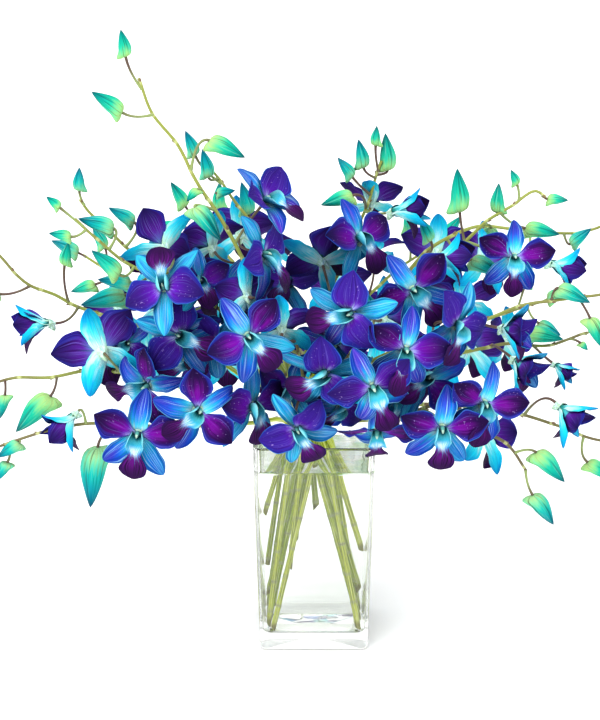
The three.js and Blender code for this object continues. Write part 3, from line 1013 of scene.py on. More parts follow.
@dataclass(frozen=True)
class Bud:
    """One bud: its base and its tip as they are seen from the front."""

    base_across: float
    base_up: float
    tip_across: float
    tip_up: float
    depth: float

    @property
    def base(self) -> Points:
        """Where the bud sits on its pedicel."""
        return VIEW.place(self.base_across, self.base_up, self.depth)

    @property
    def tip(self) -> Points:
        """The bud's point."""
        return VIEW.place(self.tip_across, self.tip_up, self.depth)


@dataclass(frozen=True)
class Spray:
    """One cut stem with its flowers: its ring and its angle in the mouth of the vase, where
    its foot is, the line that it follows as it is seen from the front, and what grows on it."""

    name: str
    ring: Ring
    slot: float
    foot: tuple[float, float, float]
    axis: tuple[tuple[float, float, float], ...]
    blooms: tuple[Bloom, ...]
    buds: tuple[Bud, ...] = ()


@dataclass
class BloomForm:
    """How every open flower is made. Angles are in degrees, sizes in millimetres.

    The folds are what closing adds to a blade's slopes. The cup sits behind the sepals, and
    the spur under it starts at a place across and behind the flower's middle. The column
    stands over the lip.
    """

    petal_angles: tuple[float, ...] = (20.0, 160.0)
    sepal_angles: tuple[float, ...] = (90.0, 231.0, 309.0)
    lip_angle: float = 270.0
    fold_at_root: float = 62.0
    fold_at_tip: float = 104.0
    fold_of_cup: float = 0.35
    lip_closing: float = 0.3
    sepal_looseness: float = 1.8
    sepal_setback: float = -1.2
    petal_setback: float = 0.3
    pedicel_radius: float = 1.2
    pedicel_end: float = 1.25
    grain: float = 0.08
    back_steps: int = 9
    back_across: float = 0.2
    cup_depth: float = 5.0
    cup_rise: float = 1.2
    cup_radius: float = 4.6
    cup_swell: float = 1.5
    cup_lip: float = 0.6
    cup_sides: int = 12
    cup_along: float = 0.04
    spur_length: float = 9.0
    spur_start: tuple[float, float] = (-1.5, -0.5)
    spur_slope: tuple[float, float] = (-0.6, -0.75)
    spur_hook: float = 0.1
    spur_hook_power: float = 1.6
    spur_radius: float = 3.4
    spur_taper: float = 0.45
    spur_end: float = 0.98
    spur_sides: int = 10
    spur_along: float = 0.03
    column_length: float = 8.5
    column_start: float = 0.5
    column_arch: tuple[float, float] = (1.6, 2.4)
    column_droop: float = 1.5
    column_radius: float = 1.7
    column_waist: tuple[float, float] = (0.4, 5.0)
    column_end: float = 0.99
    column_steps: int = 10
    column_sides: int = 10
    column_grain: float = 0.1

    def bend(self, blade: Blade, angle: float, arm: int, flower: int, bloom: Bloom,
             setback: float) -> Bend:
        """How one blade of one flower stands.

        Args:
            blade: The kind of blade.
            angle: Its angle round the flower.
            arm: Its number in the flower.
            flower: The flower's number in the bunch.
            bloom: The flower.
            setback: How far it stands in front of the flower's middle.

        Returns:
            The blade's stance.
        """
        folded = bloom.closed * (self.lip_closing if blade is LIP else 1.0)
        loose = self.sepal_looseness if blade is SEPAL else 1.0
        return Bend(
            angle=angle + Trait.ANGLE.of(flower, arm),
            length=blade.length * (1 + Trait.LENGTH.of(flower, arm)),
            start=blade.start + folded * self.fold_at_root + Trait.START.of(flower, arm),
            end=blade.end + folded * self.fold_at_tip + Trait.END.of(flower, arm),
            twist=Trait.TWIST.of(flower, arm, loose),
            sway=Trait.SWAY.of(flower, arm, loose),
            cup=self.fold_of_cup * folded + Trait.CUP.of(flower, arm),
            forward=setback,
            breadth=1 + Trait.BREADTH.of(flower, arm),
            bluntness=Trait.BLUNTNESS.of(flower, arm))

    def add(self, bloom: Bloom, flower: int, petals: Skin, sepals: Skin, lips: Skin) -> None:
        """Adds one flower.

        Args:
            bloom: The flower.
            flower: Its number in the bunch.
            petals: The mesh for its petals.
            sepals: The mesh for its sepals and back.
            lips: The mesh for its lip and column.
        """
        stance = Stance(flower_axes(bloom.gaze, bloom.roll), bloom.hub, bloom.size,
                        Salt.BLOOM_TINT.share(flower))
        arms = [(PETAL, self.petal_angles[0], petals, self.petal_setback),
                (SEPAL, self.sepal_angles[0], sepals, self.sepal_setback),
                (PETAL, self.petal_angles[1], petals, self.petal_setback),
                (SEPAL, self.sepal_angles[1], sepals, self.sepal_setback),
                (LIP, self.lip_angle, lips, 0.0),
                (SEPAL, self.sepal_angles[2], sepals, self.sepal_setback)]
        for arm, (blade, angle, skin, setback) in enumerate(arms):
            bend = self.bend(blade, angle, arm, flower, bloom, setback)
            shade = 0.5 + Trait.SHADE.of(flower, arm)
            blade.add(skin, bend, stance, shade)
        self.add_back(sepals, stance)
        self.add_column(lips, stance)

    def add_back(self, skin: Skin, stance: Stance) -> None:
        """Adds the cup behind the sepals and the blunt spur under it.

        Args:
            skin: The mesh.
            stance: Where the flower stands.
        """
        share = np.linspace(0.0, 1.0, self.back_steps)
        depth = -self.cup_depth + (self.cup_depth + self.cup_rise) * share
        cup = np.stack([0 * share, 0 * share, depth], axis=1)
        swell = np.sin(share * math.pi / 2) ** self.cup_swell
        radii = self.pedicel_radius + (self.cup_radius - self.pedicel_radius) * swell
        radii[-1] *= self.cup_lip
        add_tube(skin, stance.place(cup), radii * stance.size, self.cup_sides, self.grain,
                 along=self.cup_along, across=self.back_across, tint=stance.tint)
        reach = share * self.spur_length
        down = self.spur_slope[0] * reach + self.spur_start[0]
        hook = self.spur_hook * reach**self.spur_hook_power
        behind = self.spur_slope[1] * reach + hook + self.spur_start[1]
        spur = np.stack([0 * share, down, behind], axis=1)
        tip = np.sqrt(np.clip(1 - (share * self.spur_end) ** 3, 0, 1))
        radii = self.spur_radius * tip * (1 - self.spur_taper * share)
        add_tube(skin, stance.place(spur), radii * stance.size, self.spur_sides, self.grain,
                 along=self.spur_along, across=self.back_across, tint=stance.tint)

    def add_column(self, skin: Skin, stance: Stance) -> None:
        """Adds the short hooded column over the lip.

        Args:
            skin: The mesh.
            stance: Where the flower stands.
        """
        share = np.linspace(0.0, 1.0, self.column_steps)
        reach = share * self.column_length
        arch, turn = self.column_arch
        height = self.column_start + arch * np.sin(share * turn) - self.column_droop * share**2
        path = np.stack([0 * share, height, reach], axis=1)
        waist, turn = self.column_waist
        tip = np.sqrt(np.clip(1 - (share * self.column_end) ** 6, 0, 1))
        radii = (self.column_radius + waist * np.sin(share * turn)) * tip
        add_tube(skin, stance.place(path), radii * stance.size, self.column_sides,
                 self.column_grain, along=-share, across=0.0, front=1.0, tint=stance.tint)


@dataclass
class BudForm:
    """How every bud is made: three closed sepals with a chin under their base. Sizes are in
    millimetres, and places along the bud are shares of its length.

    The tint turns the grain from bud to bud, and a bud of the full length has the full shade.
    """

    slimness: float = 0.37
    least_width: float = 2.5
    chin: float = 0.62
    chin_place: float = 0.09
    chin_reach: float = 0.11
    chin_drop: float = 0.9
    beak: float = 0.045
    beak_droop: float = 0.2
    profile: Table = (
        (0, 0.42), (0.05, 0.76), (0.15, 0.95), (0.32, 1.0), (0.5, 0.87), (0.7, 0.6),
        (0.86, 0.33), (0.95, 0.15), (1, 0.02))
    sepals: int = 3
    seam_depth: float = 0.06
    seam_sharpness: int = 24
    full_length: float = 30.0
    grain_turn: float = 30.0
    grain_length: float = 0.4
    sides: int = 18
    rings: int = 18
    seat: float = 0.8
    pedicel_end: float = 1.3
    first_pedicel: int = 200

    def add(self, bud: Bud, number: int, skin: Skin) -> None:
        """Adds one bud.

        Args:
            bud: The bud.
            number: Its number in the bunch.
            skin: The mesh.
        """
        span = bud.tip - bud.base
        length = float(np.linalg.norm(span))
        axes = flower_axes(unit(span), 0.0)
        half = (length * self.slimness + self.least_width) / 2
        share = np.linspace(0.0, 1.0, self.rings + 1)[:, None]
        angle = np.arange(self.sides)[None, :] * 2 * math.pi / self.sides - math.pi / 2
        under = np.maximum(-np.sin(angle), 0.0)
        place = (share - self.chin_place) / self.chin_reach
        chin = self.chin * under**3 * np.exp(-(place**2))
        seam = np.abs(np.cos(self.sepals / 2 * (angle + math.pi / 2)))
        seams = 1 - self.seam_depth * seam**self.seam_sharpness * np.sin(math.pi * share)
        radius = half * (smooth_table(self.profile, share) * seams + chin)
        bow = self.beak * length * (np.sin(math.pi * share) - self.beak_droop * share)
        points = np.stack(np.broadcast_arrays(
            radius * np.cos(angle), radius * np.sin(angle) + bow * (1 - share),
            share * length - chin * half * self.chin_drop), axis=2)
        ends = np.array([points[0].mean(axis=0), points[-1].mean(axis=0)])
        placed = np.concatenate([points.reshape(-1, 3), ends]) @ axes + bud.base
        tint = Salt.BUD_TINT.share(number)
        turned, far = tint * self.grain_turn, self.grain_length
        flow = np.stack(np.broadcast_arrays(np.cos(angle), np.sin(angle) + turned, share * far),
                        axis=2)
        tails = np.array([[0.0, turned, 0.0], [0.0, turned, far]])
        along = np.append(np.repeat(share.ravel(), self.sides), [0.0, 1.0])
        across = np.append((seam + 0 * share).ravel(), [0.0, 0.0])
        skin.add(placed, tube_faces(self.rings + 1, self.sides),
                 np.concatenate([flow.reshape(-1, 3), tails]), along=along, across=across,
                 tint=tint, shade=min(length / self.full_length, 1.0))


@dataclass
class StemForm:
    """How every cut stem and every pedicel is made. Sizes are in millimetres, and angles in
    degrees.

    The stem turns a little at each joint, to one side and the other, above the lowest branch.
    A dry bract stands open at each joint there.
    """

    foot_radius: float = 2.55
    girth_range: float = 0.14
    girth_reach: float = 0.5
    slant: float = 1.1
    tip_radius: float = 1.1
    taper: float = 0.95
    step: float = 3.0
    sides: int = 10
    grain: float = 0.02
    joint_gap: float = 26.0
    joint_start: float = 0.5
    joint_shift: float = 0.4
    joint_swell: float = 0.14
    joint_width: float = 1.9
    zigzag: float = 0.8
    zigzag_rise: float = 20.0
    lowest_branch: float = 184.0
    bract_lean: float = 0.3
    bract_close: float = 16.0
    bract_curl: float = 30.0
    bract_girth: float = 2.6
    bract_gap: float = 1.02
    pedicel_radius: float = 1.0
    pedicel_root: float = 0.5
    pedicel_root_fade: float = 9.0
    pedicel_bend: float = 0.45
    pedicel_rings: int = 12
    pedicel_sides: int = 8
    set_back: float = 0.45

    def path(self, spray: Spray) -> Points:
        """The line of a stem from its foot to its tip.

        Args:
            spray: The spray.

        Returns:
            Its points.
        """
        low, mouth = np.array(spray.foot, float), Vase().gathered(spray)
        places = [VIEW.place(*place) for place in spray.axis]
        return curve_through([low, (low + mouth) / 2, mouth, *places], self.step)

    def add_stem(self, spray: Spray, path: Points, number: int, skin: Skin) -> None:
        """Adds the stem with its joints and bracts.

        Args:
            spray: The spray. It is not used.
            path: The stem's line.
            number: The spray's number in the bunch.
            skin: The mesh.
        """
        walked = lengths_along(path)
        share = walked / walked[-1]
        side, _ = path_frames(path)
        start = self.joint_start + self.joint_shift * Salt.JOINTS.of(number)
        phase = (walked + self.joint_gap * start) / self.joint_gap
        swing = 2 * np.abs(2 * (phase / 2 % 1) - 1) - 1
        above = np.clip((path[:, 2] - self.lowest_branch) / self.zigzag_rise, 0, 1)
        line = path + side * (self.zigzag * swing * above)[:, None]
        near = np.abs(phase - np.round(phase)) * self.joint_gap
        joint = np.exp(-((near / self.joint_width) ** 2))
        radii = self.foot_radius + (self.tip_radius - self.foot_radius) * share**self.taper
        radii = radii * (1 + self.joint_swell * joint)
        low = np.clip(1 - share / self.girth_reach, 0, 1)
        radii = radii * (1 + self.girth_range * Salt.GIRTH.of(number) * low)
        tint = Salt.STEM_TINT.share(number)
        slant = self.slant * Salt.CUT.of(number)
        add_tube(skin, line, radii, self.sides, self.grain, slant, along=share, across=joint,
                 front=1.0, tint=tint, shade=0.0)
        for index in np.flatnonzero((near <= self.step / 2) & (above > 0.5)):
            self.add_bract(line, index, float(radii[index]), tint, skin)

    def add_bract(self, line: Points, index: int, radius: float, tint: float, skin: Skin) -> None:
        """Adds the dry bract at a joint.

        Args:
            line: The stem's line.
            index: The joint's place on it.
            radius: The stem's radius there.
            tint: The stem's own colour share.
            skin: The mesh.
        """
        index = min(max(index, 1), len(line) - 2)
        ahead = unit(line[index + 1] - line[index - 1])
        aside = [Salt.BRACT_ACROSS.of(index), Salt.BRACT_DEEP.of(index), self.bract_lean]
        outward = unit(np.cross(ahead, aside))
        axes = np.array([np.cross(ahead, -outward), ahead, -outward])
        foot = line[index] + outward * radius * self.bract_gap
        bend = Bend(angle=90.0, length=BRACT.length, start=BRACT.start - self.bract_close,
                    end=BRACT.end - self.bract_curl)
        BRACT.add(skin, bend, Stance(axes, foot, radius / self.bract_girth, tint), 1.0)

    def branch(self, path: Points, flower: Points) -> int:
        """Where a flower's pedicel leaves the stem.

        Args:
            path: The stem's line.
            flower: Where the pedicel goes.

        Returns:
            The index of the point on the line.
        """
        gaps = np.linalg.norm(path - flower, axis=1)
        index = int(np.argmin(gaps))
        reach, walked = gaps[index] * self.set_back, 0.0
        while walked < reach and path[index - 1][2] > self.lowest_branch:
            walked += float(np.linalg.norm(path[index] - path[index - 1]))
            index -= 1
        return index

    def add_pedicel(self, path: Points, end: Points, heading: Points, number: int,
                    skin: Skin, end_radius: float) -> None:
        """Adds a pedicel.

        Args:
            path: The stem's line.
            end: Where the pedicel ends.
            heading: Its direction there.
            number: The flower's number.
            skin: The mesh.
            end_radius: Its radius at its end.
        """
        start = path[self.branch(path, end)]
        bend = end - heading * self.pedicel_bend * np.linalg.norm(end - start)
        share = np.linspace(0.0, 1.0, self.pedicel_rings + 1)[:, None]
        line = start * (1 - share) ** 2 + bend * 2 * share * (1 - share) + end * share**2
        flat = share.ravel()
        root = 1 + self.pedicel_root * np.exp(-flat * self.pedicel_root_fade)
        radii = self.pedicel_radius * root * (1 - flat**3)
        radii = radii + end_radius * flat**3
        add_tube(skin, line, radii, self.pedicel_sides, self.grain, along=flat, across=0.0,
                 front=0.0, tint=Salt.PEDICEL_TINT.share(number), shade=0.0)


@dataclass
class Vase:
    """The square glass vase, wider at its rim than at its foot, and the water in it. The
    flowers are gathered in its mouth. Sizes are in millimetres.

    A row gives a height, and how far the face there stands inside the outer face. The rows
    of the meniscus give shares of its height, and insets from the wall.
    """

    height: float = 180.0
    base_half: float = 44.8
    rim_half: float = 50.0
    corner: float = 5.5
    least_corner: float = 3.0
    wall: float = 4.0
    slab: float = 14.0
    water_level: float = 158.0
    bevel: float = 1.4
    fillet: float = 5.0
    meniscus: float = 0.9
    overlap: float = 0.2
    support: float = 0.6
    segments: int = 10
    rim_turns: range = range(0, 181, 20)
    fillet_turns: range = range(0, 91, 15)
    grain: float = 0.01
    gather_across: float = -5.0
    gather_height: float = 166.0
    foot_rows: Table = ((0.0, 2.6), (0.25, 1.1), (0.9, 0.3), (2.2, 0.0), (3.0, 0.0))
    outer_heights: tuple[float, ...] = (20.0, 60.0, 110.0, 150.0)
    inner_heights: tuple[float, ...] = (150.0, 110.0, 60.0, 30.0)
    water_heights: tuple[float, ...] = (30.0, 60.0, 110.0)
    meniscus_rows: Table = ((1.0, 0.0), (0.9, 0.3), (0.35, 1.2), (0.1, 2.4), (0.0, 4.5))

    def gathered(self, spray: Spray) -> Points:
        """Where a stem passes the mouth of the vase.

        Args:
            spray: The spray.

        Returns:
            The point.
        """
        angle = math.radians(spray.slot)
        return np.array([self.gather_across + spray.ring.value * math.cos(angle),
                         spray.ring.value * math.sin(angle), self.gather_height])

    def half_at(self, height: float) -> float:
        """Half the outer width at a height."""
        return self.base_half + (self.rim_half - self.base_half) * height / self.height

    def ring(self, half: float, corner: float, height: float) -> Points:
        """A rounded square, with a point close to each end of its straight sides.

        Args:
            half: Half its width.
            corner: The radius of its corners.
            height: Its height.

        Returns:
            Its points.
        """
        away = (half - corner) * math.sqrt(2)
        points = []
        for quarter in range(4):
            middle = math.radians(90 * quarter + 45)
            for step in range(self.segments + 1):
                angle = math.radians(90 * quarter + 90 * step / self.segments)
                place = np.array([away * math.cos(middle) + corner * math.cos(angle),
                                  away * math.sin(middle) + corner * math.sin(angle), height])
                tangent = np.array([-math.sin(angle), math.cos(angle), 0.0]) * self.support
                if step == 0:
                    points.append(place - tangent)
                points.append(place)
                if step == self.segments:
                    points.append(place + tangent)
        return np.array(points)

    def loft(self, rows: Rows) -> Skin:
        """A closed skin through rounded squares.

        Args:
            rows: For each square, its height and how far it stands inside the outer face.

        Returns:
            The mesh, with a flat cap at each end.
        """
        rings = [self.ring(self.half_at(height) - inset,
                           max(self.corner - inset, self.least_corner), height)
                 for height, inset in rows]
        caps = [rings[0].mean(axis=0)[None], rings[-1].mean(axis=0)[None]]
        points = np.concatenate([*rings, *caps])
        skin = Skin()
        skin.add(points, tube_faces(len(rings), len(rings[0])), points * self.grain)
        return skin

    def glass_rows(self) -> Rows:
        """The rows of the glass.

        Returns:
            They run from under its foot up the outside, over its rim and down to its floor.
        """
        rows = [*self.foot_rows, *((height, 0.0) for height in self.outer_heights)]
        for degrees in self.rim_turns:
            angle = math.radians(degrees)
            rows.append((self.height - self.bevel * (1 - math.sin(angle)),
                         self.wall / 2 * (1 - math.cos(angle))))
        rows += [(height, self.wall) for height in self.inner_heights]
        return rows + self.fillet_rows(0.0)

    def fillet_rows(self, overlap: float) -> Rows:
        """The rows of the rounded edge between the inner walls and the floor.

        Args:
            overlap: How far it lies in the glass.

        Returns:
            They run down to the floor.
        """
        rows = []
        for degrees in self.fillet_turns:
            angle = math.radians(degrees)
            rows.append((self.slab - overlap + self.fillet * (1 - math.sin(angle)),
                         self.wall - overlap + self.fillet * (1 - math.cos(angle))))
        return rows

    def water_rows(self) -> Rows:
        """The rows of the water.

        Returns:
            They run from its floor to its surface, which is raised at the glass.
        """
        side, level = self.wall - self.overlap, self.water_level - self.meniscus
        rows = self.fillet_rows(self.overlap)[::-1]
        rows += [(height, side) for height in self.water_heights]
        return rows + [(level + self.meniscus * share, side + inset)
                       for share, inset in self.meniscus_rows]


SPRAYS: tuple[Spray, ...] = (
    Spray(
        "tall_left", Ring.INNER, slot=255, foot=(-38, -14, 17),
        axis=((-6, -20, -40), (-20, 22, -78), (-39, 62, -92), (-58, 105, -92), (-80, 138, -88),
              (-98, 172, -84), (-121, 203, -80), (-133, 231, -78)),
        blooms=(Bloom(-29, 129, -95, 50, 45, -20, 0.95, 0.25),
                Bloom(-31, 86, -112, 62, 10, -20, 1),
                Bloom(-43, 52, -112, 200, -10, 0, 0.8, 0.15)),
        buds=(Bud(-143, 249, -147, 271, -78), Bud(-146, 203, -171, 220, -80),
              Bud(-74, 180, -45, 166, -84), Bud(-84, 140, -93, 130, -92),
              Bud(-86, 125, -65, 98, -98)),
    ),
    Spray(
        "top_left", Ring.CENTRE, slot=120, foot=(-16, 3, 84),
        axis=((-6, -10, 10), (-16, 30, 28), (-28, 75, 40), (-41, 113, 48), (-57, 135, 50),
              (-71, 154, 50)),
        blooms=(Bloom(-72, 92, 20, -150, 30, 0, 1, 0.15),
                Bloom(-49, 102, 78, 170, 20, 0, 1, 0.15), Bloom(-10, 62, 8, -20, 50, 0, 0.9)),
        buds=(Bud(-86, 168, -94, 188, 50), Bud(-75, 150, -80, 173, 40),
              Bud(-68, 137, -53, 139, 40), Bud(-42, 120, -48, 146, 60)),
    ),
    Spray(
        "top_right", Ring.INNER, slot=75, foot=(2, 13, 112),
        axis=((2, -12, 14), (14, 28, 22), (30, 68, 28), (44, 100, 30), (54, 125, 28),
              (61, 145, 26), (67, 163, 24)),
        blooms=(Bloom(18, 80, -25, 190, 20, 55, 1, 0.15), Bloom(48, 98, -30, 40, 30, 0, 1),
                Bloom(75, 121, 15, 80, 10, 0, 0.9, 0.8),
                Bloom(58, 128, 34, 170, 40, 0, 0.85, 0.2)),
        buds=(Bud(43, 150, 31, 166, 20), Bud(52, 158, 48, 181, 24), Bud(62, 176, 63, 192, 24),
              Bud(72, 156, 70, 186, 30), Bud(43, 135, 17, 127, 10)),
    ),
    Spray(
        "upper_right", Ring.INNER, slot=-15, foot=(38, -3, 42),
        axis=((8, -22, -6), (36, 12, -28), (72, 48, -50), (105, 76, -58), (133, 96, -52),
              (153, 113, -46), (172, 126, -42), (191, 138, -40), (201, 133, -40)),
        blooms=(Bloom(93, 57, -93, 15, 5, -34, 1), Bloom(111, 84, -72, 80, 5, 0, 0.85, 0.75),
                Bloom(175, 84, -70, 10, 10, 8, 0.9)),
        buds=(Bud(203, 132, 220, 131, -40), Bud(131, 122, 129, 157, -50),
              Bud(162, 121, 163, 145, -40), Bud(178, 144, 173, 156, -40),
              Bud(185, 108, 213, 103, -36), Bud(157, 108, 160, 91, -36),
              Bud(141, 82, 168, 69, -56)),
    ),
    Spray(
        "upper_right_back", Ring.INNER, slot=30, foot=(38, 14, 17),
        axis=((8, -18, 8), (38, 20, 30), (75, 58, 45), (108, 92, 52), (140, 108, 55),
              (175, 108, 52), (210, 104, 45), (240, 107, 40), (262, 116, 36)),
        blooms=(Bloom(205, 79, 20, 80, -10, 0, 0.85, 0.75),
                Bloom(148, 82, 80, 140, 0, 0, 1, 0.15), Bloom(112, 88, 96, 170, 10, 0, 1, 0.15)),
        buds=(Bud(222, 95, 239, 108, 40), Bud(264, 117, 279, 126, 36),
              Bud(252, 124, 260, 142, 40), Bud(107, 98, 98, 117, 30)),
    ),
    Spray(
        "right", Ring.INNER, slot=-60, foot=(38, -20, 19),
        axis=((10, -30, -22), (42, -8, -52), (80, 8, -72), (118, 22, -82), (153, 34, -84),
              (193, 47, -82), (238, 52, -78), (262, 58, -76)),
        blooms=(Bloom(127, 29, -127, 45, 0, 40, 1), Bloom(166, 26, -112, 60, 0, 0, 0.85, 0.6)),
        buds=(Bud(212, 59, 238, 47, -80), Bud(238, 34, 248, 10, -78), Bud(264, 58, 282, 63, -76)),
    ),
    Spray(
        "right_back", Ring.OUTER, slot=15, foot=(28, 4, 77),
        axis=((12, -36, 0), (48, -22, 2), (88, -8, 0), (128, 4, -6), (165, 13, -12),
              (200, 12, -16), (236, 22, -18)),
        blooms=(Bloom(176, 0, -48, 50, -25, 0, 0.9, 0.6),
                Bloom(209, -4, -38, 60, -30, 0, 0.6, 0.8), Bloom(139, 12, 42, 140, 0, 0, 1, 0.15)),
        buds=(Bud(187, 22, 216, 17, -22), Bud(230, 14, 236, 8, -18), Bud(240, 24, 254, 30, -18)),
    ),
    Spray(
        "lower_right", Ring.OUTER, slot=-15, foot=(40, -8, 80),
        axis=((12, -44, -12), (50, -40, -38), (92, -36, -58), (135, -38, -64), (172, -43, -62),
              (207, -52, -58), (234, -63, -54), (258, -68, -50)),
        blooms=(Bloom(213, -38, -80, 60, -35, 0, 0.9, 0.65), Bloom(103, -15, -112, 15, 15, 70, 1),
                Bloom(150, -60, -22, 120, -10, 0, 1, 0.15)),
        buds=(Bud(236, -84, 256, -98, -52), Bud(260, -68, 276, -72, -50)),
    ),
    Spray(
        "bottom_right", Ring.OUTER, slot=-45, foot=(37, -34, 17),
        axis=((10, -52, -22), (44, -50, -62), (82, -46, -90), (121, -36, -100), (148, -57, -98),
              (170, -69, -94), (185, -90, -90)),
        blooms=(Bloom(116, -56, -142, 5, -10, 5, 1), Bloom(150, -36, -132, 20, -5, 18, 1),
                Bloom(63, -57, -122, 0, -50, 0, 0.95), Bloom(78, -30, -92, 35, -20, 10, 0.85)),
        buds=(Bud(194, -76, 217, -100, -92), Bud(191, -111, 208, -135, -90)),
    ),
    Spray(
        "front_right", Ring.OUTER, slot=285, foot=(-34, -35, 17),
        axis=((12, -40, -38), (28, -12, -80), (46, 10, -112), (62, 28, -120)),
        blooms=(Bloom(86, 8, -150, 10, 0, 14, 1), Bloom(60, -22, -158, 10, -10, -25, 1),
                Bloom(34, -36, -106, 25, -25, 60, 0.85), Bloom(28, 14, -96, 5, 0, 150, 0.9),
                Bloom(41, 39, -146, -20, 0, 75, 1)),
        buds=(Bud(60, 38, 54, 56, -100),),
    ),
    Spray(
        "front_left", Ring.OUTER, slot=255, foot=(-20, -19, 68),
        axis=((2, -44, -40), (2, -24, -86), (0, 2, -112), (-6, 24, -118)),
        blooms=(Bloom(-2, -56, -126, 10, -15, -34, 0.95), Bloom(20, -10, -138, -10, -15, 70, 1),
                Bloom(-15, 25, -128, 180, 30, 0, 0.9, 0.15), Bloom(-40, -38, -108, 40, 0, 0, 1),
                Bloom(-6, -22, -92, -20, -20, 20, 0.9), Bloom(-42, 19, -146, 12, 5, -35, 1)),
    ),
    Spray(
        "bottom_left", Ring.OUTER, slot=225, foot=(-38, -24, 17),
        axis=((-12, -50, -30), (-45, -52, -62), (-90, -54, -82), (-133, -54, -92),
              (-172, -52, -96), (-203, -57, -98), (-227, -64, -98), (-250, -72, -98)),
        blooms=(Bloom(-133, -61, -132, -5, 0, 8, 1.05), Bloom(-84, -41, -135, 10, 0, 63, 1),
                Bloom(-185, -45, -100, -65, -40, 0, 0.85, 0.7)),
        buds=(Bud(-230, -68, -248, -80, -98), Bud(-240, -84, -250, -100, -94),
              Bud(-166, -72, -172, -121, -92), Bud(-252, -73, -269, -80, -98)),
    ),
    Spray(
        "lower_left", Ring.OUTER, slot=195, foot=(-41, -6, 112),
        axis=((-12, -44, -10), (-48, -36, -30), (-90, -24, -48), (-130, -13, -57),
              (-166, -8, -62), (-205, -14, -62), (-235, -15, -60), (-262, -22, -58)),
        blooms=(Bloom(-125, -20, -98, -35, -10, 78, 1),
                Bloom(-162, 7, -80, -160, 0, 20, 1.12, 0.15),
                Bloom(-142, 14, -58, 10, 5, 60, 0.65)),
        buds=(Bud(-242, -29, -246, -48, -60), Bud(-205, -30, -233, -59, -62),
              Bud(-264, -23, -281, -30, -58)),
    ),
    Spray(
        "left", Ring.OUTER, slot=165, foot=(-39, 9, 62),
        axis=((-12, -34, 2), (-48, -12, -4), (-85, 10, -12), (-120, 25, -20), (-152, 33, -26),
              (-180, 43, -30), (-200, 53, -32), (-223, 62, -34), (-246, 85, -36), (-262, 98, -38)),
        blooms=(Bloom(-205, 30, -50, -85, 0, 0, 0.9, 0.8), Bloom(-98, 20, -92, 0, 12, -70, 1),
                Bloom(-122, 3, 30, -140, 0, 0, 1, 0.15), Bloom(-70, 14, -86, -10, -10, 40, 0.95),
                Bloom(-92, 0, -34, 15, -10, 92, 0.9)),
        buds=(Bud(-193, 78, -190, 97, -32), Bud(-246, 54, -263, 56, -34),
              Bud(-264, 100, -277, 112, -38)),
    ),
    Spray(
        "upper_left", Ring.INNER, slot=210, foot=(-37, -6, 26),
        axis=((-8, -24, -14), (-32, 12, -36), (-64, 40, -54), (-100, 60, -66), (-139, 78, -72),
              (-168, 100, -74), (-184, 116, -76)),
        blooms=(Bloom(-111, 60, -112, -15, 35, 170, 1), Bloom(-82, 62, -88, 20, 40, 0, 0.8, 0.2),
                Bloom(-60, 58, -46, -30, 10, 30, 0.9)),
        buds=(Bud(-197, 125, -208, 134, -76), Bud(-188, 101, -206, 104, -78),
              Bud(-148, 70, -171, 90, -86), Bud(-153, 108, -182, 116, -70)),
    ),
    Spray(
        "upper_left_back", Ring.INNER, slot=165, foot=(-38, 2, 17),
        axis=((-8, -20, 4), (-34, 20, 4), (-66, 50, -4), (-100, 68, -12), (-127, 80, -18),
              (-150, 100, -22), (-171, 119, -24), (-180, 132, -26)),
        blooms=(Bloom(-111, 92, -50, -150, 10, -45, 1, 0.15),
                Bloom(-112, 44, 24, -150, 10, 0, 1, 0.15)),
        buds=(Bud(-181, 139, -181, 158, -26), Bud(-136, 113, -157, 125, -14),
              Bud(-139, 63, -166, 66, -36), Bud(-144, 53, -180, 45, -18)),
    ),
    Spray(
        "back_left", Ring.OUTER, slot=135, foot=(-38, 21, 22),
        axis=((-14, -30, 24), (-44, -2, 60), (-82, 26, 92), (-118, 50, 112), (-150, 70, 124),
              (-178, 86, 130)),
        blooms=(Bloom(-60, 2, 108, 180, 0, 0, 1, 0.15), Bloom(-98, 22, 128, -170, 5, 0, 1, 0.15),
                Bloom(-118, 68, 124, 170, 40, 0, 1, 0.15),
                Bloom(-148, 40, 128, -140, -10, 0, 0.9, 0.15)),
        buds=(Bud(-182, 88, -204, 98, 130), Bud(-160, 92, -170, 110, 126),
              Bud(-168, 62, -188, 56, 136)),
    ),
    Spray(
        "back_high", Ring.INNER, slot=120, foot=(-38, 12, 34),
        axis=((-8, -20, 34), (-20, 20, 80), (-38, 56, 118), (-58, 84, 142), (-76, 106, 156),
              (-90, 122, 162)),
        blooms=(Bloom(-58, 52, 156, -170, 0, 0, 1, 0.15),
                Bloom(-30, 88, 140, 150, 50, 0, 1, 0.15),
                Bloom(-82, 84, 172, -150, 10, 0, 0.9, 0.2)),
        buds=(Bud(-94, 126, -106, 146, 162), Bud(-66, 124, -66, 146, 152),
              Bud(-100, 108, -122, 110, 164)),
    ),
    Spray(
        "back_right", Ring.OUTER, slot=75, foot=(36, 32, 22),
        axis=((10, -24, 34), (26, 12, 80), (46, 42, 116), (70, 66, 138), (94, 84, 152),
              (116, 98, 160)),
        blooms=(Bloom(30, 58, 138, 180, 20, 0, 1, 0.15), Bloom(68, 34, 142, 160, 0, 0, 1, 0.15),
                Bloom(60, 86, 120, -170, 60, 0, 0.95, 0.15),
                Bloom(106, 62, 156, 140, 0, 0, 0.9, 0.2)),
        buds=(Bud(119, 100, 132, 118, 160), Bud(90, 104, 88, 126, 150),
              Bud(126, 88, 146, 84, 158)),
    ),
    Spray(
        "back_low_right", Ring.OUTER, slot=45, foot=(38, 21, 17),
        axis=((16, -32, 24), (50, -10, 58), (90, 10, 86), (130, 26, 104), (166, 38, 114),
              (200, 48, 120)),
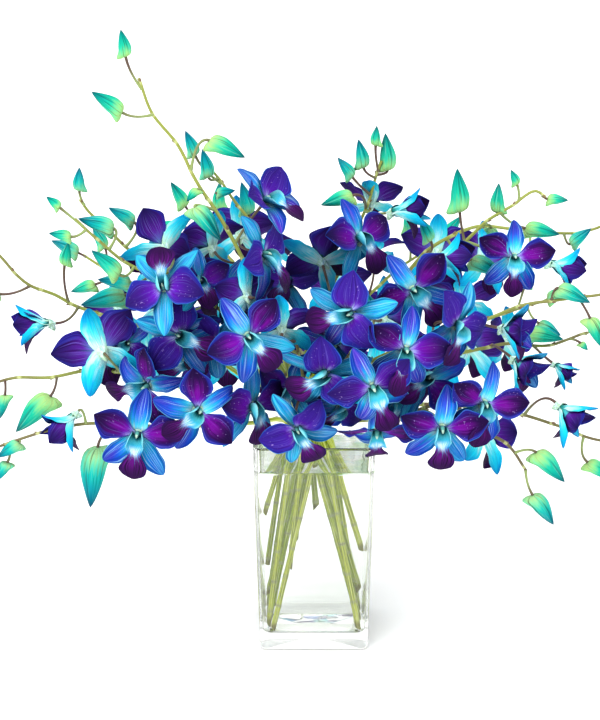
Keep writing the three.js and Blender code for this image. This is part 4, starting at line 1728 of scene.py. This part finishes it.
        blooms=(Bloom(62, -14, 98, 165, -10, 0, 1, 0.15), Bloom(108, 2, 124, 150, 0, 0, 1, 0.15),
                Bloom(134, 46, 122, 170, 40, 0, 1, 0.15),
                Bloom(166, 16, 126, 130, -10, 0, 0.9, 0.15)),
        buds=(Bud(203, 50, 224, 58, 120), Bud(184, 60, 190, 80, 116), Bud(196, 30, 214, 20, 122)),
    ),
    Spray(
        "back_low", Ring.OUTER, slot=105, foot=(-35, 32, 17),
        axis=((0, -36, 44), (2, -16, 92), (2, 2, 134), (0, 10, 164)),
        blooms=(Bloom(-26, -2, 146, -165, -5, 0, 1, 0.15), Bloom(18, 4, 168, 170, 0, 0, 1, 0.15),
                Bloom(26, -26, 125, 150, -30, 0, 1, 0.15)),
    ),
)


@dataclass(frozen=True)
class PetalFinish:
    """The two broad petals: white streaks at the claw, a magenta glow, deep purple and a blue
    border, and the same colours paler behind. The drifts say how far noise moves the
    colours along the petal, and the frays how far it moves its border."""

    stops: Stops = (
        (0.0, (0.68, 0.92, 0.95)), (0.09, (0.44, 0.68, 0.92)), (0.17, (0.33, 0.24, 0.84)),
        (0.26, (0.14, 0.008, 0.46)), (0.42, (0.068, 0.005, 0.25)), (0.6, (0.034, 0.006, 0.135)),
        (0.8, (0.018, 0.006, 0.070)), (1.0, (0.008, 0.006, 0.050)))
    back_stops: Stops = (
        (0.0, (0.45, 0.72, 0.68)), (0.1, (0.16, 0.52, 0.66)), (0.22, (0.10, 0.12, 0.48)),
        (0.40, (0.085, 0.012, 0.27)), (0.7, (0.030, 0.008, 0.13)), (1.0, (0.010, 0.006, 0.065)))
    veins: Grain = Grain((13.0, 1.0, 0.9), 4.0, 0.6)
    cloud: Grain = Grain((1.8, 1.0, 3.0))
    root: Rise = (-0.05, 0.2)
    vein_drift: float = 0.7
    cloud_drift: float = 0.3
    vein_fray: float = 0.4
    cloud_fray: float = 0.6
    dark: Layer = Layer((0.012, 0.002, 0.030), ((0.45, 0.9), (0.12, 0.45)), 0.8)
    glow: Layer = Layer((0.26, 0.004, 0.42),
                        ((0.16, 0.3), (0.85, 0.4), (0.85, 0.15), (0.65, 0.2)))
    glow_streaks: Rise = (0.35, 0.6)
    glow_gain: float = 0.45
    glow_least: float = 0.05
    violet: Layer = Layer((0.038, 0.014, 0.27), ((0.45, 0.9), (0.1, 0.4)), 0.75)
    border: Layer = Layer((0.012, 0.020, 0.27), ((0.5, 0.95),), 0.85)
    # Pale veins: partly the petal's own, partly a painted highlight along the ridges.
    pale_vein_and_painted_highlight: Layer = Layer((0.26, 0.20, 0.82), ((0.54, 0.70), (1.05, 0.25)), 0.36)
    # Painted glints: small pale flecks over the petal, and how fine they are.
    painted_glints: Layer = Layer((0.52, 0.34, 0.86), ((0.69, 0.78), (1.0, 0.7)), 0.42)
    painted_glint_fineness: float = 620.0
    dark_vein: Layer = Layer((0.004, 0.002, 0.022), ((0.47, 0.34), (0.08, 0.25)), 0.5)
    # Partly the petal's own pale edge, partly a painted highlight along it.
    rim: Layer = Layer((0.03, 0.20, 0.60), ((0.93, 0.99),), 0.6)
    back_border: Layer = replace(border, strength=0.7)
    back_dark_vein: Layer = replace(dark_vein, rises=((0.47, 0.34),), strength=0.75)
    # Pale veins behind: partly real, partly a painted highlight along the ridges.
    back_pale_vein_and_painted_highlight: Layer = replace(pale_vein_and_painted_highlight, rises=((0.54, 0.68), (1.0, 0.3)), strength=0.5)
    sheen: Sheen = Sheen(0.03, 0.42)

    def material(self) -> bpy.types.Material:
        """Makes the material.

        Returns:
            The material.
        """
        graph = Graph("petal")
        along, edge = graph.attribute("along"), abs(graph.attribute("across"))
        tint, shade = graph.attribute("tint"), graph.attribute("shade")
        veins, cloud = self.veins.read(graph), self.cloud.read(graph)
        drift = (along + (veins - 0.5) * self.vein_drift * along.step(*self.root)
                 + (cloud - 0.5) * self.cloud_drift)
        colour = self.dark.over(graph.ramp(drift, self.stops), shade, along)
        streaks = cloud.step(*self.glow_streaks) * self.glow_gain + self.glow_least
        colour = self.glow.over(colour, along, along, edge, tint, streaks=streaks)
        colour = self.violet.over(colour, tint, along)
        border = edge + (cloud - 0.5) * self.cloud_fray + (veins - 0.5) * self.vein_fray
        colour = self.border.over(colour, border)
        # Pale veins, partly a painted highlight along the ridges.
        colour = self.pale_vein_and_painted_highlight.over(colour, veins, along)
        # Painted glints.
        glint_dots = graph.noise(graph.in_place(), self.painted_glint_fineness, 1.0)
        colour = self.painted_glints.over(colour, glint_dots, along)
        colour = self.dark_vein.over(colour, veins, along)
        # Partly the petal's own pale edge, partly a painted highlight along it.
        colour = self.rim.over(colour, edge)
        behind = self.back_border.over(graph.ramp(drift, self.back_stops), border)
        behind = self.back_dark_vein.over(behind, veins)
        # Pale veins, partly a painted highlight along the ridges.
        behind = self.back_pale_vein_and_painted_highlight.over(behind, veins, along)
        colour = graph.mix(graph.attribute("front"), behind, colour)
        # Painted shade deep in the bunch and close to other blades.
        return self.sheen.finish(PAINTED_CROWD_SHADE.paint_crowd_shade(colour), veins, cloud)


@dataclass(frozen=True)
class SepalFinish:
    """The three narrow sepals: a white base with turquoise streaks, royal blue with a violet
    blush, and turquoise with pale patches behind. The cup and the spur behind the flower have
    the same finish. The drifts say how far noise moves the colours along the sepal, and the
    frays how far it moves its blush."""

    stops: Stops = (
        (0.0, (0.78, 0.97, 0.96)), (0.11, (0.42, 0.88, 0.95)), (0.24, (0.03, 0.62, 0.88)),
        (0.40, (0.008, 0.27, 0.76)), (0.57, (0.007, 0.085, 0.58)), (0.78, (0.006, 0.038, 0.38)),
        (1.0, (0.006, 0.060, 0.36)))
    back_stops: Stops = (
        (0.0, (0.50, 0.74, 0.46)), (0.14, (0.52, 0.88, 0.78)), (0.32, (0.12, 0.80, 0.86)),
        (0.58, (0.010, 0.60, 0.82)), (0.85, (0.005, 0.36, 0.68)), (1.0, (0.004, 0.19, 0.50)))
    veins: Grain = Grain((13.0, 1.0, 1.0), 4.0, 0.65)
    cloud: Grain = Grain((2.4, 1.0, 3.4))
    root: Rise = (-0.05, 0.2)
    vein_drift: float = 0.9
    cloud_drift: float = 0.45
    cloud_fray: float = 0.9
    vein_fray: float = 0.5
    violet: Layer = Layer((0.13, 0.025, 0.48), ((0.85, 0.25), (0.15, 0.42), (0.4, 0.56)))
    violet_gain: float = 0.75
    violet_least: float = 0.25
    cyan: Layer = Layer((0.02, 0.58, 0.84), ((0.45, 0.85),), 0.85)
    cyan_streaks: Rise = (0.35, 0.6)
    cyan_gain: float = 0.6
    cyan_least: float = 0.4
    border: Layer = Layer((0.005, 0.020, 0.24), ((0.5, 0.95), (0.2, 0.4)), 0.7)
    # Pale veins: partly the sepal's own, partly a painted highlight along the ridges.
    pale_vein_and_painted_highlight: Layer = Layer((0.36, 0.76, 1.0), ((0.53, 0.64), (1.1, 0.4)), 0.7)
    dark_vein: Layer = Layer((0.003, 0.010, 0.12), ((0.47, 0.36), (0.08, 0.25)), 0.6)
    # Partly the sepal's own pale edge, partly a painted highlight along it.
    rim: Layer = Layer((0.13, 0.50, 0.76), ((0.93, 0.985),), 0.6)
    back_pale: Layer = Layer((0.74, 0.95, 0.90), ((0.48, 0.62), (0.75, 0.2)), 0.75)
    back_vein: Layer = Layer((0.005, 0.20, 0.42), ((0.47, 0.35),), 0.65)
    sheen: Sheen = Sheen(0.03, 0.4)

    def material(self) -> bpy.types.Material:
        """Makes the material.

        Returns:
            The material.
        """
        graph = Graph("sepal")
        along, edge = graph.attribute("along"), abs(graph.attribute("across"))
        tint, shade = graph.attribute("tint"), graph.attribute("shade")
        veins, cloud = self.veins.read(graph), self.cloud.read(graph)
        drift = (along + (veins - 0.5) * self.vein_drift * along.step(*self.root)
                 + (cloud - 0.5) * self.cloud_drift)
        colour = self.violet.over(
            graph.ramp(drift, self.stops), edge + (cloud - 0.5) * self.cloud_fray, along,
            veins + (cloud - 0.5) * self.vein_fray,
            streaks=tint * self.violet_gain + self.violet_least)
        streaks = cloud.step(*self.cyan_streaks) * self.cyan_gain + self.cyan_least
        colour = self.cyan.over(colour, shade, streaks=streaks)
        colour = self.border.over(colour, edge, along)
        # Pale veins, partly a painted highlight along the ridges.
        colour = self.pale_vein_and_painted_highlight.over(colour, veins, along)
        colour = self.dark_vein.over(colour, veins, along)
        # Partly the sepal's own pale edge, partly a painted highlight along it.
        colour = self.rim.over(colour, edge)
        behind = self.back_pale.over(graph.ramp(drift, self.back_stops), cloud, along)
        behind = self.back_vein.over(behind, veins)
        colour = graph.mix(graph.attribute("front"), behind, colour)
        # Painted shade deep in the bunch and close to other blades.
        return self.sheen.finish(PAINTED_CROWD_SHADE.paint_crowd_shade(colour), veins, cloud)


@dataclass(frozen=True)
class LipFinish:
    """The lip: a turquoise throat with painted shade deep inside it, a white fringe and a dark
    maroon tongue. The column, whose mark along is negative, is pale green with a paler cap,
    and painted shade for a hollow where its mark across is high. The drifts say how far the
    veins and the edge move the colours along the lip."""

    # The darkest stops, deep in the throat, are painted shade.
    side: Stops = (
        (0.0, (0.008, 0.09, 0.07)), (0.1, (0.02, 0.28, 0.25)), (0.2, (0.08, 0.56, 0.62)),
        (0.34, (0.03, 0.44, 0.70)), (0.5, (0.015, 0.13, 0.50)), (1.0, (0.01, 0.06, 0.4)))
    veins: Grain = Grain((18.0, 1.0, 0.6), 3.0, 0.6)
    cloud: Grain = Grain((2.0, 1.0, 2.6))
    side_drift: float = 0.3
    tongue_drift: float = 0.8
    edge_drift: float = 0.10
    edge_fray: float = 0.5
    throat_rim: Layer = Layer((0.26, 0.74, 0.80), ((0.02, 0.12), (0.45, 0.34), (0.7, 0.95)), 0.8)
    tongue: Layer = Layer((0.026, 0.003, 0.052), ((0.49, 0.55), (0.42, 0.5)))
    glow: Layer = Layer((0.115, 0.006, 0.19), ((0.9, 0.55), (0.42, 0.64)))
    dark_vein: Layer = Layer((0.006, 0.001, 0.012), ((0.48, 0.36),), 0.8)
    tongue_edge: Layer = Layer((0.016, 0.004, 0.060), ((0.6, 1.0), (0.5, 0.6)), 0.7)
    fringe: Layer = Layer((0.68, 0.92, 0.96), ((0.28, 0.42), (0.6, 0.52), (0.9, 0.4)))
    fringe_streaks: Rise = (0.42, 0.54)
    fringe_gain: float = 0.9
    fringe_least: float = 0.1
    column: Layer = Layer((0.13, 0.44, 0.36), ((-0.01, -0.05),))
    cap: Layer = Layer((0.50, 0.74, 0.58), ((-0.72, -0.8),))
    # Painted shade for the hollow under the column's cap.
    painted_hollow_shade: Layer = Layer((0.008, 0.05, 0.04), ((0.5, 1.0),))
    sheen: Sheen = Sheen(0.05, 0.4)

    def material(self) -> bpy.types.Material:
        """Makes the material.

        Returns:
            The material.
        """
        graph = Graph("lip")
        along, across = graph.attribute("along"), graph.attribute("across")
        edge = abs(across)
        veins, cloud = self.veins.read(graph), self.cloud.read(graph)
        colour = graph.ramp(along + (veins - 0.5) * self.side_drift, self.side)
        colour = self.throat_rim.over(colour, along, along, edge)
        reach = along + (veins - 0.5) * self.tongue_drift + edge * self.edge_drift
        tongue = self.glow.over(self.tongue.colour, along, veins)
        tongue = self.dark_vein.over(tongue, veins)
        colour = graph.mix(self.tongue.cover(reach, along), colour, tongue)
        colour = self.tongue_edge.over(colour, edge + (cloud - 0.5) * self.edge_fray, along)
        streaks = veins.step(*self.fringe_streaks) * self.fringe_gain + self.fringe_least
        colour = self.fringe.over(colour, along, reach, edge, streaks=streaks)
        # Painted shade for the hollow under the cap.
        hood = self.painted_hollow_shade.over(self.cap.over(self.column.colour, along), across)
        colour = graph.mix(self.column.cover(along), colour, hood)
        # Painted shade deep in the bunch and close to other blades.
        return self.sheen.finish(PAINTED_CROWD_SHADE.paint_crowd_shade(colour), veins, cloud)


@dataclass(frozen=True)
class BudFinish:
    """The buds: emerald and sea green over a yellow green base, with fine long veins. The
    drifts say how far noise moves the colours along the bud."""

    green: Stops = (
        (0.0, (0.38, 0.60, 0.20)), (0.18, (0.22, 0.62, 0.22)), (0.4, (0.012, 0.48, 0.29)),
        (0.68, (0.0, 0.32, 0.25)), (1.0, (0.0, 0.07, 0.10)))
    blue: Stops = (
        (0.0, (0.30, 0.55, 0.24)), (0.16, (0.13, 0.54, 0.30)), (0.36, (0.006, 0.42, 0.35)),
        (0.66, (0.0, 0.25, 0.30)), (1.0, (0.0, 0.05, 0.12)))
    veins: Grain = Grain((5.0, 5.0, 1.6), 4.0, 0.6)
    cloud: Grain = Grain((1.5, 1.5, 4.0), 2.0)
    vein_drift: float = 0.6
    cloud_drift: float = 0.4
    bluer: Rise = (0.4, 0.8)
    pale: Layer = Layer((0.28, 0.84, 0.50), ((0.55, 0.7),), 0.5)
    deep: Layer = Layer((0.0, 0.045, 0.05), ((0.46, 0.32),), 0.8)
    # Painted shade: darker along the grooves of the seams.
    seam: Layer = replace(deep, rises=((0.93, 0.99), (0.1, 0.5)), strength=0.55)
    sheen: Sheen = Sheen(0.05, 0.36, dulling=0.16)

    def material(self) -> bpy.types.Material:
        """Makes the material.

        Returns:
            The material.
        """
        graph = Graph("bud")
        along, seam, tint = (graph.attribute(name) for name in ("along", "across", "tint"))
        veins, cloud = self.veins.read(graph), self.cloud.read(graph)
        drift = along + (veins - 0.5) * self.vein_drift + (cloud - 0.5) * self.cloud_drift
        colour = graph.mix(tint.step(*self.bluer), graph.ramp(drift, self.green),
                           graph.ramp(drift, self.blue))
        colour = self.deep.over(self.pale.over(colour, veins), veins)
        # Painted shade: darker along the grooves of the seams.
        colour = self.seam.over(colour, seam, along)
        # Painted shade deep in the bunch and close to other blades.
        return self.sheen.finish(PAINTED_CROWD_SHADE.paint_crowd_shade(colour), veins, cloud)


@dataclass(frozen=True)
class StemFinish:
    """The stems and pedicels: yellow green in the water, olive above it and mauve brown
    towards the flowers, with pale joints, dry brown bracts and painted highlights along the
    grain. The shifts say how far noise, the tint and the way along a stem move its colours."""

    wet: Colour = (0.54, 0.70, 0.008)
    pedicel: Colour = (0.26, 0.33, 0.12)
    grain: Grain = Grain((2.6, 2.6, 1.0))
    cloud_fineness: float = 38.0
    cloud_detail: float = 3.0
    fresh: Layer = Layer((0.88, 0.98, 0.10), ((0.36, 0.64),))
    fresh_shift: float = 0.7
    shadow: Layer = Layer((0.14, 0.20, 0.004), ((0.5, 0.36),), 0.6)
    # Painted highlight: pale streaks along the grain.
    painted_highlight: Layer = Layer((0.94, 1.0, 0.52), ((0.51, 0.62),), 0.75)
    olive: Layer = Layer((0.28, 0.31, 0.070), ((0.38, 0.6),))
    mauve: Layer = Layer((0.105, 0.056, 0.056), ((0.7, 1.2),), 0.8)
    mauve_cloud: float = 0.7
    mauve_tint: float = 0.6
    cut: Layer = Layer((0.22, 0.17, 0.04), ((0.022, 0.006),), 0.75)
    joint: Layer = Layer((0.62, 0.66, 0.30), ((0.25, 0.8),), 0.7)
    scar: Layer = Layer((0.13, 0.085, 0.04), ((0.9, 1.0), (0.42, 0.56)), 0.8)
    branch_mauve: Layer = replace(mauve, rises=((0.2, 0.7),), strength=1.0)
    branch_tint: float = 0.6
    branch_along: float = 0.5
    streak: Layer = replace(shadow, rises=((0.52, 0.38),), strength=0.35)
    bract: Layer = Layer((0.20, 0.13, 0.07), ((0.5, 0.9),))
    sheen: Sheen = Sheen(0.2, 0.36, ridge=0.0006, ridge_strength=0.5)

    def material(self) -> bpy.types.Material:
        """Makes the material.

        Returns:
            The material.
        """
        graph = Graph("stem")
        along, joint, main = (graph.attribute(name) for name in ("along", "across", "front"))
        tint, dry = graph.attribute("tint"), graph.attribute("shade")
        grain = self.grain.read(graph)
        cloud = graph.noise(graph.in_place(), self.cloud_fineness, self.cloud_detail)
        body = self.fresh.over(self.wet, cloud + (tint - 0.5) * self.fresh_shift)
        # Painted highlight along the grain.
        body = self.painted_highlight.over(self.shadow.over(body, grain), grain)
        body = self.olive.over(body, along)
        browning = along + (cloud - 0.5) * self.mauve_cloud + (tint - 0.5) * self.mauve_tint
        body = self.mauve.over(body, browning)
        body = self.cut.over(body, along)
        body = self.scar.over(self.joint.over(body, joint), joint, cloud)
        browning = tint * self.branch_tint + along * self.branch_along + (cloud - 0.5)
        branch = self.branch_mauve.over(self.pedicel, browning)
        colour = self.streak.over(graph.mix(main, branch, body), grain)
        colour = self.bract.over(colour, dry)
        # Painted shade deep in the bunch.
        return self.sheen.finish(PAINTED_CROWD_SHADE.paint_depth_shade(colour), grain, cloud)


@dataclass(frozen=True)
class ClearFinish:
    """Glass or water, with faint waves in its faces. Above the still height, in metres, its
    face is rippled, with a painted reflection of the stems mottled over it."""

    name: str
    index: float
    colour: Colour
    wave_fineness: float
    wave_depth: float
    still: float | None = None
    still_band: float = 0.0008
    ripple_fineness: float = 55.0
    ripple_depth: float = 0.0008
    # Painted reflection of the stems in the rippled surface.
    painted_stem_reflection: Layer = Layer((0.50, 0.74, 0.38), ((0.40, 0.62),))

    def material(self) -> bpy.types.Material:
        """Makes the material.

        Returns:
            The material.
        """
        graph = Graph(self.name)
        place = graph.in_place()
        wave = graph.noise(place, self.wave_fineness, 1.0)
        colour: Link = self.colour
        if self.still is None:
            normal = graph.bump(wave, self.wave_depth, 1.0)
        else:
            height = graph.node("SeparateXYZ", {}, {"Vector": place}, output="Z")
            ripple = graph.noise(place, self.ripple_fineness)
            surface = height.step(self.still, self.still + self.still_band)
            both = wave * (self.wave_depth / self.ripple_depth) + ripple * surface
            normal = graph.bump(both, self.ripple_depth, 1.0)
            # Painted reflection of the stems in the rippled surface.
            colour = self.painted_stem_reflection.over(colour, ripple, streaks=surface)
        return graph.finish({"Base Color": colour, "Roughness": 0.0, "IOR": self.index,
                             "Transmission Weight": 1.0, "Normal": normal})


@dataclass(frozen=True)
class FloorFinish:
    """The plain pale floor."""

    colour: Colour = (0.99, 0.99, 0.99)
    roughness: float = 0.7
    specular: float = 0.1

    def material(self) -> bpy.types.Material:
        """Makes the material."""
        return Graph("floor").finish({"Base Color": self.colour, "Roughness": self.roughness,
                                      "Specular IOR Level": self.specular})


@dataclass
class Bunch:
    """All the sprays, how their parts are made, and the finishes that they share."""

    sprays: Sequence[Spray]
    bloom_form: BloomForm
    bud_form: BudForm
    stem_form: StemForm
    slots: tuple[Slot, ...] = (Slot.PETAL, Slot.SEPAL, Slot.LIP, Slot.BUD, Slot.STEM)

    def build(self) -> list[bpy.types.Object]:
        """Makes every spray.

        Returns:
            The pieces.
        """
        kinds = (PetalFinish, SepalFinish, LipFinish, BudFinish, StemFinish)
        finishes = {slot: kind().material() for slot, kind in zip(self.slots, kinds)}
        pieces, flowers, buds = [], 0, 0
        for number, spray in enumerate(self.sprays):
            skins = self.grow(spray, number, flowers, buds)
            for slot, skin in skins.items():
                if skin.count:
                    name = f"{slot.value}s_{spray.name}"
                    pieces.append(skin.piece(name, finishes[slot], slot, ["spray_" + spray.name]))
            flowers += len(spray.blooms)
            buds += len(spray.buds)
        log.info("%d sprays, %d flowers, %d buds", len(self.sprays), flowers, buds)
        return pieces

    def grow(self, spray: Spray, number: int, flower: int, bud: int) -> dict[Slot, Skin]:
        """Makes the meshes of one spray.

        Args:
            spray: The spray.
            number: Its number.
            flower: The number of its first flower.
            bud: The number of its first bud.

        Returns:
            A mesh for each finish.
        """
        skins = {slot: Skin() for slot in self.slots}
        form, closed, stems = self.bloom_form, self.bud_form, self.stem_form
        path = stems.path(spray)
        stems.add_stem(spray, path, number, skins[Slot.STEM])
        for index, bloom in enumerate(spray.blooms):
            form.add(bloom, flower + index, skins[Slot.PETAL], skins[Slot.SEPAL], skins[Slot.LIP])
            end = bloom.hub - bloom.gaze * form.cup_depth * bloom.size
            stems.add_pedicel(path, end, bloom.gaze, flower + index, skins[Slot.STEM],
                              form.pedicel_end)
        for index, shut in enumerate(spray.buds, start=bud):
            closed.add(shut, index, skins[Slot.BUD])
            heading = unit(shut.tip - shut.base)
            stems.add_pedicel(path, shut.base + heading * closed.seat, heading,
                              closed.first_pedicel + index, skins[Slot.STEM], closed.pedicel_end)
        return skins


def build_vase() -> list[bpy.types.Object]:
    """Makes the vase and its water.

    Returns:
        The two pieces.
    """
    vase = Vase()
    glass = ClearFinish("vase_glass", index=1.45, colour=(0.945, 0.958, 0.94),
                        wave_fineness=22.0, wave_depth=0.00006)
    water = ClearFinish("water", index=1.333, colour=(0.985, 0.995, 0.98),
                        wave_fineness=30.0, wave_depth=0.00004,
                        still=(vase.water_level - 2 * vase.meniscus) * MM)
    return [
        vase.loft(vase.glass_rows()).piece("vase_body", glass.material(), Slot.GLASS, ["vase"]),
        vase.loft(vase.water_rows()).piece("water_fill", water.material(), Slot.WATER, ["water"]),
    ]


@dataclass
class Studio:
    """The floor, the light and the camera. Sizes are in metres, and angles in degrees. Light
    passes the many faces of glass and water only where it may turn often enough."""

    floor_half: float = 9.0
    floor_top: float = -0.0002
    light_turns: int = 24
    world: float = 1.17
    world_colour: Colour = (1.0, 1.0, 1.0)
    sun: float = 2.5
    sun_spread: float = 50.0
    sun_fall: float = 35.0
    sun_turn: float = -18.0

    def build(self) -> None:
        """Makes them."""
        self.lay_floor()
        self.light_world()
        self.hang_sun()
        VIEW.camera()
        scene = bpy.context.scene
        scene.view_settings.view_transform = "Standard"
        scene.cycles.max_bounces = self.light_turns
        scene.cycles.glossy_bounces = self.light_turns
        scene.cycles.transmission_bounces = self.light_turns

    def lay_floor(self) -> None:
        """Lays the floor just under the vase."""
        half, top = self.floor_half, self.floor_top
        mesh = bpy.data.meshes.new("floor")
        corners = [(-half, -half, top), (half, -half, top), (half, half, top), (-half, half, top)]
        mesh.from_pydata(corners, [], [(0, 1, 2, 3)])
        mesh.materials.append(FloorFinish().material())
        floor = bpy.data.objects.new("floor", mesh)
        bpy.context.collection.objects.link(floor)

    def light_world(self) -> None:
        """Sets the even light from all sides."""
        world = bpy.data.worlds.new("studio")
        world.use_nodes = True
        backdrop = world.node_tree.nodes["Background"]
        backdrop.inputs["Color"].default_value = (*self.world_colour, 1.0)
        backdrop.inputs["Strength"].default_value = self.world
        bpy.context.scene.world = world

    def hang_sun(self) -> None:
        """Hangs the main light, which is soft and high at the front left."""
        data = bpy.data.lights.new("main", "SUN")
        data.energy = self.sun
        data.angle = math.radians(self.sun_spread)
        light = bpy.data.objects.new("main", data)
        light.rotation_euler = (math.radians(self.sun_fall), math.radians(self.sun_turn), 0.0)
        bpy.context.collection.objects.link(light)


def main() -> None:
    """Builds everything."""
    logging.basicConfig(level=logging.INFO, format="%(message)s")
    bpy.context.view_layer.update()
    bunch = Bunch(SPRAYS, BloomForm(), BudForm(), StemForm())
    for piece in [*bunch.build(), *build_vase()]:
        log.info("%s is in place", piece.name)
    Studio().build()
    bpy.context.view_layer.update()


if __name__ == "__main__":
    main()
